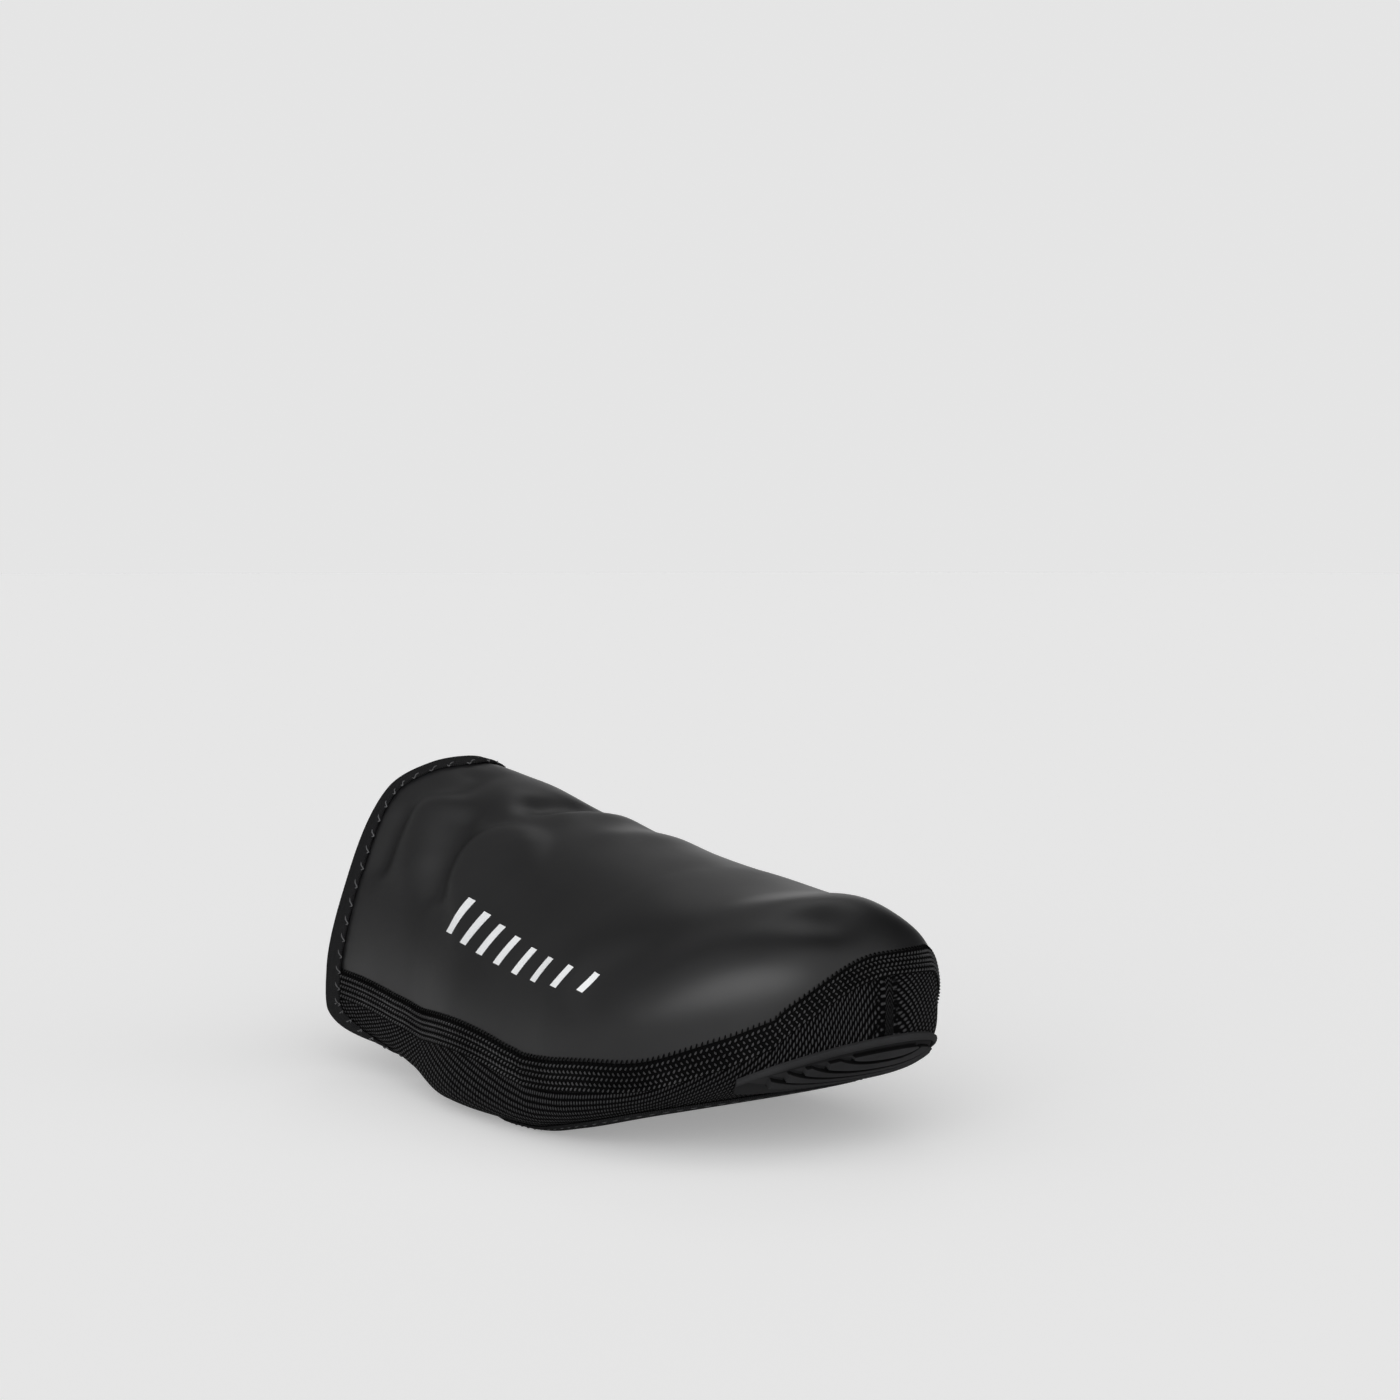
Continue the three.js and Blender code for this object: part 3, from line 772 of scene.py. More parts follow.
@dataclass
class GroupShelf:
    """Builds each shared group once and places it in materials."""

    wobble_scale: float = 420.0
    wobble_detail: float = 2.0
    rib_wobble: float = 0.16
    stitch_wobble: float = 0.3
    rib_power: float = 0.7
    stitch_share: float = 0.8
    moss_pitch: tuple[float, float] = (0.95, 0.9)
    fuzz_scale: float = 3800.0
    fuzz_height: float = 0.16
    fuzz_shade: float = 0.3
    # Heights over which the ribs' painted shade turns into painted highlight.
    rib_shade_heights: tuple[float, float] = (0.45, 0.95)
    chevron_slope: float = 0.6
    pick_share: float = 0.8
    twill_share: float = 0.65
    lint_scale: float = 3000.0
    lint_height: float = 0.3
    # Heights over which the weave's painted shade turns into painted highlight.
    weave_shade_heights: tuple[float, float] = (0.2, 0.9)
    broad_tones: tuple[float, float] = (0.3, 0.7)
    built: dict[GroupKind, bpy.types.NodeTree] = field(default_factory=dict)

    def start(
        self, kind: GroupKind, inputs: dict[str, float | None], outputs: Sequence[str]
    ) -> tuple[Nodes, dict[str, Signal], bpy.types.Node]:
        """An empty group with named sockets.

        Args:
            kind: The effect.
            inputs: Default of each number that goes in, by name. A default of None takes a vector.
            outputs: Name of each number that comes out.

        Returns:
            The group's nodes, its signals by name, and its output node.
        """
        tree = bpy.data.node_groups.new(kind.value, "ShaderNodeTree")
        for name, default in inputs.items():
            socket_type = "NodeSocketVector" if default is None else "NodeSocketFloat"
            socket = tree.interface.new_socket(name=name, in_out="INPUT", socket_type=socket_type)
            if default is not None:
                socket.default_value = default
        for name in outputs:
            tree.interface.new_socket(name=name, in_out="OUTPUT", socket_type="NodeSocketFloat")
        nodes = Nodes(tree)
        entry, leave = nodes.add("NodeGroupInput"), nodes.add("NodeGroupOutput")
        self.built[kind] = tree
        return nodes, {name: Signal(nodes, entry.outputs[name]) for name in inputs}, leave

    def ribs(self) -> None:
        """Ribs across the flow, each a column of slanted stitches, with loose moss stitch where asked. Its
        Shade is painted shade in the gaps and painted highlight on the tops of ribs, stitches and moss dots.
        """
        sizes = {"Flow": None, "Pitch": 1.45, "Stitch": 0.9, "Slant": 0.45}
        nodes, given, leave = self.start(GroupKind.RIBS, sizes, ("Height", "Shade"))
        apart = nodes.add("ShaderNodeSeparateXYZ", {0: given["Flow"]})
        across, along, moss = (Signal(nodes, apart.outputs[i]) for i in range(3))
        wobble = nodes.noise(self.wobble_scale, self.wobble_detail)
        column = across / given["Pitch"] + (wobble - 0.5) * self.rib_wobble
        back = column.arch()
        half = column.math("FRACT") - 0.5
        slanted = along / given["Stitch"] + half * given["Slant"] * 2
        stitch = (slanted + (wobble - 0.5) * self.stitch_wobble).arch()
        rib = back.math("POWER", self.rib_power) * (stitch * self.stitch_share + (1 - self.stitch_share))
        wide, long = self.moss_pitch
        dots = ((across / wide).wave() * (along / long).wave()).math("SQRT")
        height = rib + (dots - rib) * moss
        fuzz = nodes.noise(self.fuzz_scale, self.wobble_detail)
        nodes.feed(leave.inputs["Height"], height + (fuzz - 0.5) * self.fuzz_height)
        # Painted shade and painted highlight: the colour share falls in the gaps between stitches and rises
        # on their tops.
        shade = nodes.ramp(height + (fuzz - 0.5) * self.fuzz_shade, *self.rib_shade_heights)
        nodes.feed(leave.inputs["Shade"], shade)

    def weave(self) -> None:
        """A fine twill on a tape, from its length and width, with a herringbone turn down its middle. Its
        Shade is painted shade in the hollows and painted highlight on the thread tops.
        """
        sizes = {"Flow": None, "Thread": 0.5, "Chevron": 3.4}
        nodes, given, leave = self.start(GroupKind.WEAVE, sizes, ("Height", "Shade"))
        apart = nodes.add("ShaderNodeSeparateXYZ", {0: given["Flow"]})
        along, across = Signal(nodes, apart.outputs[0]), Signal(nodes, apart.outputs[1])
        turned = (across / given["Chevron"]).arch() * given["Chevron"] * self.chevron_slope
        twill = ((along + turned) / given["Thread"]).arch()
        pick = (across / (given["Thread"] * self.pick_share)).wave()
        lint = (nodes.noise(self.lint_scale, self.wobble_detail) - 0.5) * self.lint_height
        height = twill * self.twill_share + pick * (1 - self.twill_share) + lint
        nodes.feed(leave.inputs["Height"], height)
        # Painted shade in the weave's hollows and painted highlight on its thread tops.
        nodes.feed(leave.inputs["Shade"], nodes.ramp(height, *self.weave_shade_heights))

    def grain(self) -> None:
        """Fine pebbled grain with slow changes of tone."""
        sizes = {"Fine": 2600.0, "Broad": 40.0}
        nodes, given, leave = self.start(GroupKind.GRAIN, sizes, ("Height", "Tone"))
        where = nodes.signal("ShaderNodeTexCoord", "Object")
        fine, broad = (
            nodes.signal("ShaderNodeTexNoise", 0, {"Vector": where, "Scale": given[key], "Detail": detail})
            for key, detail in (("Fine", 2.0), ("Broad", 4.0))
        )
        nodes.feed(leave.inputs["Height"], fine)
        nodes.feed(leave.inputs["Tone"], nodes.ramp(broad, *self.broad_tones))

    def place(self, nodes: Nodes, kind: GroupKind, values: dict[str, object]) -> dict[str, Signal]:
        """A group in a material, with its own values.

        Args:
            nodes: The material's nodes.
            kind: The effect.
            values: Values or signals for the group's inputs.

        Returns:
            The group's outputs by name.
        """
        if kind not in self.built:
            {GroupKind.RIBS: self.ribs, GroupKind.WEAVE: self.weave, GroupKind.GRAIN: self.grain}[kind]()
        node = nodes.add("ShaderNodeGroup", node_tree=self.built[kind])
        for name, value in values.items():
            nodes.feed(node.inputs[name], value)
        return {socket.name: Signal(nodes, socket) for socket in node.outputs}


# ---- finishes ----


@dataclass(frozen=True)
class Finish:
    """What every finish has: a name, a dark and a light tone, its gloss and its relief's depth in metres."""

    name: str
    dark: Tone
    light: Tone
    roughness: float
    depth: float
    specular: float = 0.5
    sheen: float = 0.0
    sheen_roughness: float = 0.45

    def surface(self) -> tuple[bpy.types.Material, Nodes, bpy.types.Node]:
        """A new material, with its plain values set on the shader's own sockets.

        Returns:
            The material, its nodes and its Principled shader.
        """
        material = bpy.data.materials.new(self.name)
        material.use_nodes = True
        material.node_tree.nodes.clear()
        nodes = Nodes(material.node_tree)
        shader = nodes.add("ShaderNodeBsdfPrincipled")
        shader.inputs["Base Color"].default_value = (*self.dark, 1)
        shader.inputs["Roughness"].default_value = self.roughness
        shader.inputs["Specular IOR Level"].default_value = self.specular
        if self.sheen:
            shader.inputs["Sheen Weight"].default_value = self.sheen
            shader.inputs["Sheen Roughness"].default_value = self.sheen_roughness
        out = nodes.add("ShaderNodeOutputMaterial")
        nodes.feed(out.inputs["Surface"], shader.outputs[0])
        return material, nodes, shader

    def tones(self, nodes: Nodes, shader: bpy.types.Node, share: Signal) -> None:
        """Colours the shader from the dark to the light tone."""
        nodes.feed(shader.inputs["Base Color"], nodes.blend(share, (*self.dark, 1), (*self.light, 1)))

    def relief(self, nodes: Nodes, shader: bpy.types.Node, height: Signal, strength: float = 1.0) -> None:
        """Feeds a height to the shader as bump of this finish's depth."""
        inputs = {"Strength": strength, "Distance": self.depth, "Height": height}
        nodes.feed(shader.inputs["Normal"], nodes.signal("ShaderNodeBump", 0, inputs))


@dataclass(frozen=True)
class CoatedNeoprene(Finish):
    """Satin coated cloth: fine grain, slow changes of gloss and a faint stretch weave below the coat."""

    fine: float = 2200.0
    broad: float = 28.0
    weave_scale: float = 900.0
    weave_share: float = 0.4
    gloss_change: tuple[float, float] = (-0.03, 0.04)
    bump: float = 0.35

    def make(self, shelf: GroupShelf) -> bpy.types.Material:
        """Makes the finish.

        Args:
            shelf: The shared groups.

        Returns:
            The material.
        """
        material, nodes, shader = self.surface()
        grain = shelf.place(nodes, GroupKind.GRAIN, {"Fine": self.fine, "Broad": self.broad})
        self.tones(nodes, shader, grain["Tone"])
        ends = (self.roughness + change for change in self.gloss_change)
        nodes.feed(shader.inputs["Roughness"], nodes.ramp(grain["Tone"], 0, 1, *ends))
        where = nodes.signal("ShaderNodeTexCoord", "Object")
        cells = nodes.signal("ShaderNodeTexVoronoi", 0, {"Vector": where, "Scale": self.weave_scale})
        height = grain["Height"] * (1 - self.weave_share) + cells * self.weave_share
        self.relief(nodes, shader, height, self.bump)
        return material


@dataclass(frozen=True)
class RibbedKnit(Finish):
    """Ribbed stretch knit that follows the flow of the piece, with painted shade in its gaps and painted
    highlight on the tops of its stitches.
    """

    pitch: float = 1.36
    stitch: float = 0.9

    def make(self, shelf: GroupShelf) -> bpy.types.Material:
        """Makes the finish.

        Args:
            shelf: The shared groups.

        Returns:
            The material.
        """
        material, nodes, shader = self.surface()
        flow = nodes.signal("ShaderNodeAttribute", "Vector", attribute_name="flow")
        ribs = shelf.place(
            nodes, GroupKind.RIBS, {"Flow": flow, "Pitch": self.pitch, "Stitch": self.stitch}
        )
        # Painted shade in the gaps and painted highlight on the stitch tops, from the ribs' Shade.
        self.tones(nodes, shader, ribs["Shade"])
        nodes.feed(shader.inputs["Roughness"], nodes.ramp(ribs["Shade"], 0, 1, 1.0, self.roughness))
        self.relief(nodes, shader, ribs["Height"])
        return material


@dataclass(frozen=True)
class WovenTape(Finish):
    """Fine woven elastic tape, with painted shade in the hollows of its weave and painted highlight on its
    thread tops.
    """

    thread: float = 0.5

    def make(self, shelf: GroupShelf) -> bpy.types.Material:
        """Makes the finish.

        Args:
            shelf: The shared groups.

        Returns:
            The material.
        """
        material, nodes, shader = self.surface()
        flow = nodes.signal("ShaderNodeAttribute", "Vector", attribute_name="flow")
        cloth = shelf.place(nodes, GroupKind.WEAVE, {"Flow": flow, "Thread": self.thread})
        # Painted shade in the hollows and painted highlight on the thread tops, from the weave's Shade.
        self.tones(nodes, shader, cloth["Shade"])
        nodes.feed(shader.inputs["Roughness"], nodes.ramp(cloth["Shade"], 0, 1, 1.0, self.roughness))
        self.relief(nodes, shader, cloth["Height"])
        return material


@dataclass(frozen=True)
class Grained(Finish):
    """A plain finish with fine grain: thread, print or brushed backing."""

    fine: float = 1800.0
    broad: float = 60.0

    def make(self, shelf: GroupShelf) -> bpy.types.Material:
        """Makes the finish.

        Args:
            shelf: The shared groups.

        Returns:
            The material.
        """
        material, nodes, shader = self.surface()
        grain = shelf.place(nodes, GroupKind.GRAIN, {"Fine": self.fine, "Broad": self.broad})
        self.tones(nodes, shader, grain["Tone"])
        self.relief(nodes, shader, grain["Height"])
        return material


@dataclass(frozen=True)
class MouldedRubber(Grained):
    """Matt rubber with painted shade in the grooves of its mould, where the first number of the piece's flow
    attribute is low.
    """

    # Share of the tone left at the bottom of a groove: painted shade.
    groove: float = 0.12
    grain_share: float = 0.3

    def make(self, shelf: GroupShelf) -> bpy.types.Material:
        """Makes the finish.

        Args:
            shelf: The shared groups.

        Returns:
            The material.
        """
        material, nodes, shader = self.surface()
        grain = shelf.place(nodes, GroupKind.GRAIN, {"Fine": self.fine, "Broad": self.broad})
        flow = nodes.signal("ShaderNodeAttribute", "Vector", attribute_name="flow")
        # raised is the first number of flow, each corner's lit share; the ramp below turns it into painted
        # shade in the grooves.
        raised = Signal(nodes, nodes.add("ShaderNodeSeparateXYZ", {0: flow}).outputs[0])
        painted_groove_shade = nodes.ramp(raised, 0.0, 1.0, self.groove, 1.0)
        tone = grain["Tone"] * self.grain_share + (1 - self.grain_share)
        self.tones(nodes, shader, tone * painted_groove_shade)
        nodes.feed(shader.inputs["Roughness"], nodes.ramp(painted_groove_shade, 0, 1, 1.0, self.roughness))
        self.relief(nodes, shader, grain["Height"])
        return material


class Palette:
    """The finishes of the cover, made once each."""

    def __init__(self) -> None:
        """Makes every material."""
        shelf = GroupShelf()
        self.upper = CoatedNeoprene(
            "coated neoprene", dark=(0.0068, 0.0068, 0.0073), light=(0.0098, 0.0098, 0.0104),
            roughness=0.4, depth=0.00003,
        ).make(shelf)
        self.backing = Grained(
            "brushed backing", dark=(0.008, 0.008, 0.009), light=(0.016, 0.016, 0.017),
            roughness=0.95, depth=0.00025, specular=0.2, sheen=0.2, fine=1500.0,
        ).make(shelf)
        # The knit's light tone is a painted highlight on the stitch tops; its dark tone is painted shade in
        # the gaps.
        self.knit = RibbedKnit(
            "ribbed knit", dark=(0.0004, 0.0004, 0.0005), light=(0.052, 0.052, 0.054),
            roughness=0.6, depth=0.0005, specular=0.06,
        ).make(shelf)
        # The tape's light tone is a painted highlight on the thread tops; its dark tone is painted shade in
        # the hollows.
        self.tape = WovenTape(
            "woven tape", dark=(0.002, 0.002, 0.0022), light=(0.02, 0.02, 0.0211),
            roughness=0.8, depth=0.00012, specular=0.1,
        ).make(shelf)
        self.thread = Grained(
            "sewing thread", dark=(0.022, 0.022, 0.0228), light=(0.06, 0.06, 0.0622),
            roughness=0.45, depth=0.00005, specular=0.42, fine=5000.0,
        ).make(shelf)
        self.dark_thread = Grained(
            "dark sewing thread", dark=(0.001, 0.001, 0.0011), light=(0.003, 0.003, 0.0031),
            roughness=0.85, depth=0.00005, specular=0.06, fine=5000.0,
        ).make(shelf)
        self.pale_thread = Grained(
            "pale sewing thread", dark=(0.065, 0.065, 0.0675), light=(0.11, 0.11, 0.114),
            roughness=0.45, depth=0.00004, specular=0.45, fine=5000.0,
        ).make(shelf)
        # The rubber's tone is multiplied by the pad's painted groove shade.
        self.rubber = MouldedRubber(
            "moulded rubber", dark=(0.0005, 0.0005, 0.0005), light=(0.032, 0.032, 0.0333),
            roughness=0.75, depth=0.00002, specular=0.06, fine=2400.0,
        ).make(shelf)
        self.print = Grained(
            "reflective print", dark=(0.82, 0.83, 0.84), light=(0.9, 0.91, 0.92),
            roughness=0.38, depth=0.00001, fine=4000.0,
        ).make(shelf)


# ---- the pieces ----


@dataclass
class Dressed:
    """What every sub-assembly has: the skin it lies on and the palette it is finished with."""

    skin: Skin
    palette: Palette

    def finish(
        self,
        thing: bpy.types.Object,
        slot: str,
        materials: Sequence[bpy.types.Material],
        nodes: Sequence[str] = (),
    ) -> bpy.types.Object:
        """Dresses a piece, puts it on the cover's body and reports it.

        Args:
            thing: The piece.
            slot: The record's material slot. It is not used.
            materials: Its materials, in slot order.
            nodes: CAD nodes that it stands for.

        Returns:
            The piece.
        """
        for material in materials:
            thing.data.materials.append(material)
        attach(thing, BODY)
        if nodes:
            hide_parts(*nodes)
        thing.data.calc_loop_triangles()
        LOG.info("%s: %d triangles", thing.name, len(thing.data.loop_triangles))
        return thing


@dataclass
class Upper(Dressed):
    """The coated upper, from seam to seam over the crown, open at the rear."""

    wall: float = 2.6
    along: int = 280
    across: int = 72
    cut: tuple[float, float] = (0.2, 0.185)
    cut_area: float = 0.0246

    def build(self) -> bpy.types.Object:
        """Makes the upper as one closed wall of cloth.

        Returns:
            The upper.
        """
        side = np.linspace(-1, 1, self.along + 1)[:, None]
        share = np.linspace(0, 1, self.across + 1)[None, :]
        foot = self.skin.seam(side * self.skin.station_at(self.skin.rear(0))) + SEAM_GAP
        turn = lerp(foot, 1, share)
        turn[:, -1] = 1
        station = side * self.skin.station_at(self.skin.rear(turn))
        wall = ClothWall(self.skin, station, turn, self.wall).build("upper")
        self.finish(wall, "coated_neoprene", [self.palette.upper, self.palette.backing], ["upper_shell"])
        return wall


class FlowRow(NamedTuple):
    """How the knit's ribs lean at a lateral station: degrees up from the seam's own direction."""

    station: float
    lean: float


RIB_FLOW = (
    FlowRow(-2.1, -50),
    FlowRow(-1.72, -38),
    FlowRow(-1.42, -16),
    FlowRow(-1.2, -4),
    FlowRow(-0.9, 0),
    FlowRow(-0.7, 6),
    FlowRow(-0.52, 18),
    FlowRow(-0.36, 30),
    FlowRow(-0.22, 42),
    FlowRow(-0.014, 46),
    FlowRow(0.0, 90),
)


@dataclass
class KnitChart:
    """Lengths over the knit: along the seam from the toe tip, and down from the seam."""

    skin: Skin
    stretch: float = 60.0
    moss_middle: float = -0.01
    moss_width: float = 0.035
    end_room: float = 0.12
    head_room: float = 0.1
    steps_along: int = 641
    steps_down: int = 161

    def __post_init__(self) -> None:
        """Measures the skin along and below the seam."""
        reach = self.skin.station_at(self.skin.rear(0)) + self.end_room
        self.stations = np.linspace(-reach, reach, self.steps_along)
        self.top = np.minimum(self.skin.seam(self.stations) + self.head_room, 1)
        share = np.linspace(0, 1, self.steps_down)[None, :]
        self.turns = lerp(self.top[:, None], -1, share)
        points = self.skin.point(self.stations[:, None], self.turns)
        steps = np.linalg.norm(np.diff(points, axis=1), axis=-1)
        depth = np.concatenate([np.zeros((len(self.stations), 1)), np.cumsum(steps, 1)], 1)
        seam = self.skin.seam(self.stations)
        at_seam = [np.interp(-t, -row, d) for t, row, d in zip(seam, self.turns, depth)]
        self.depth = depth - np.array(at_seam)[:, None]
        line = self.skin.point(self.stations, seam)
        run = np.concatenate([[0], np.cumsum(np.linalg.norm(np.diff(line, axis=0), axis=-1))])
        self.run = run - np.interp(0, self.stations, run)
        rows = [(r.station, r.lean) for r in RIB_FLOW]
        mirrored = [(-s, 180 - a) for s, a in reversed(rows[:-1])]
        lean = Curve(*zip(*(rows + mirrored)))
        self.lean = np.radians(lean(self.stations))
        self.rise = self.total(np.sin(self.lean))
        self.advance = self.total(np.cos(self.lean))

    def total(self, values: Array) -> Array:
        """The running integral of values over the seam's length, from the toe tip.

        Args:
            values: A value for each of the chart's stations.

        Returns:
            The integral at each station.
        """
        steps = (values[1:] + values[:-1]) / 2 * np.diff(self.run)
        summed = np.concatenate([[0], np.cumsum(steps)])
        return summed - np.interp(0, self.run, summed)

    def station(self, run: Array | float) -> Array:
        """The station at a length along the seam."""
        return np.interp(run, self.run, self.stations)

    def between(self, station: Array) -> tuple[Array, Array]:
        """Where stations lie among the chart's own.

        Args:
            station: Stations.

        Returns:
            The number of the chart's station before each, and the share of the way to the next.
        """
        place = np.interp(station, self.stations, np.arange(len(self.stations)))
        low = np.clip(place.astype(int), 0, len(self.stations) - 2)
        return low, place - low

    def turn(self, station: Array, down: Array | float) -> Array:
        """The turn at a depth below the seam.

        Args:
            station: Stations.
            down: Depths, in millimetres.

        Returns:
            The turns.
        """
        station, down = np.broadcast_arrays(station, down)
        low, share = self.between(station)
        found = np.empty(station.shape)
        for spot in np.ndindex(station.shape):
            i = low[spot]
            first, second = (np.interp(down[spot], self.depth[k], self.turns[k]) for k in (i, i + 1))
            found[spot] = lerp(first, second, share[spot])
        return found

    def down(self, station: Array, turn: Array) -> Array:
        """The depth below the seam of a turn at a station.

        Args:
            station: Stations.
            turn: Turns.

        Returns:
            The depths, in millimetres.
        """
        low, share = self.between(station)
        depth = []
        for i in (low, low + 1):
            across = (self.top[i] - turn) / (self.top[i] + 1) * (self.turns.shape[1] - 1)
            j = np.clip(across.astype(int), 0, self.turns.shape[1] - 2)
            depth.append(lerp(self.depth[i, j], self.depth[i, j + 1], across - j))
        return lerp(depth[0], depth[1], share)

    def flow(self, station: Array, turn: Array) -> Array:
        """How the ribs run through cells of the knit.

        Args:
            station: The cells' stations.
            turn: The cells' turns.

        Returns:
            For each cell its place across the ribs and along them, in millimetres, and how mossy it is.
        """
        down = self.down(station, turn)
        down = down / (1 + np.maximum(down, 0) / self.stretch)
        run = np.interp(station, self.stations, self.run)
        lean = np.interp(run, self.run, self.lean)
        across = down * np.cos(lean) + np.interp(run, self.run, self.rise)
        along = np.interp(run, self.run, self.advance) - down * np.sin(lean)
        moss = np.exp(-(((station - self.moss_middle) / self.moss_width) ** 2))
        return np.stack([across, along, moss], -1)


@dataclass
class CleatOpening:
    """The opening for the cleat: its rear end, and its reach as shares of the sole's."""

    skin: Skin
    rear_x: float = -36.0
    side_share: float = 0.76
    front_share: float = 0.54
    squareness: float = 3.0
    straight: float = 0.45

    def edge(self, share: Array, side: Array | float) -> tuple[Array, Array]:
        """The edge from the toe end round one side to the rear end.

        Args:
            share: Shares of the way, from 0 to 1.
            side: -1 for the lateral side, 1 for the medial side.

        Returns:
            The stations and the turns.
        """
        share = np.asarray(share, float)
        front = np.minimum(share / self.straight, 1)
        blend = np.sin(front * math.pi / 2) ** 2
        angle = np.clip((share - self.straight) / (1 - self.straight), 0, 1) * math.pi / 2
        back = np.sin(angle) ** (2 / self.squareness)
        sideways = np.clip(np.cos(angle), 0, 1) ** (2 / self.squareness)
        ahead = share <= self.straight
        out = np.where(ahead, lerp(self.front_share, self.side_share, blend), self.side_share * sideways)
        x = lerp(self.skin.ball_x, self.rear_x, back)
        station = side * np.where(ahead, front, self.skin.station_at(x))
        return station, np.where(share >= 1, -1, self.skin.out_to_turn(out))


@dataclass
class Knit(Dressed):
    """The stretch-knit rand: side band, underside and the strap behind the cleat opening."""

    opening: CleatOpening
    chart: KnitChart
    wall: float = 1.8
    opening_rows: int = 150
    strap_rows: int = 40
    across: int = 44
    strap_share: float = 0.78
    cut: tuple[float, float] = (0.19, 0.2)
    cut_area: float = 0.0141

    def line(self, share: float, side: int) -> tuple[Array, Array]:
        """One line of the knit from the seam down.

        Args:
            share: Its share of the way round the opening. Past 1, its share of the strap behind it.
            side: -1 for the lateral side, 1 for the medial side.

        Returns:
            The stations and the turns along the line.
        """
        skin = self.skin
        past = max(share - 1, 0)
        rear = skin.station_at(skin.rear(0))
        end, end_turn = self.opening.edge(min(share, 1), 1)
        start = self.strap_share * min(share, 1) * rear
        head = skin.seam(side * lerp(start, rear, past)) - SEAM_GAP
        down = np.linspace(0, 1, self.across + 1)
        turn = lerp(head, end_turn, down)
        station = lerp(start, end, down)
        return side * lerp(station, skin.station_at(skin.rear(turn)), past), turn

    def build(self) -> bpy.types.Object:
        """Makes the knit as one closed wall of cloth.

        Returns:
            The knit.
        """
        past = 1 + np.linspace(0, 1, self.strap_rows + 1)[1:]
        shares = np.concatenate([np.linspace(0, 1, self.opening_rows + 1), past])
        lines = [self.line(s, -1) for s in shares[::-1]] + [self.line(s, 1) for s in shares[1:]]
        station, turn = (np.array(part) for part in zip(*lines))
        flow = self.chart.flow(station, turn)
        wall = ClothWall(self.skin, station, turn, self.wall).build("knit_rand", flow)
        self.finish(wall, "stretch_knit", [self.palette.knit, self.palette.knit], ["sole_rand"])
        return wall


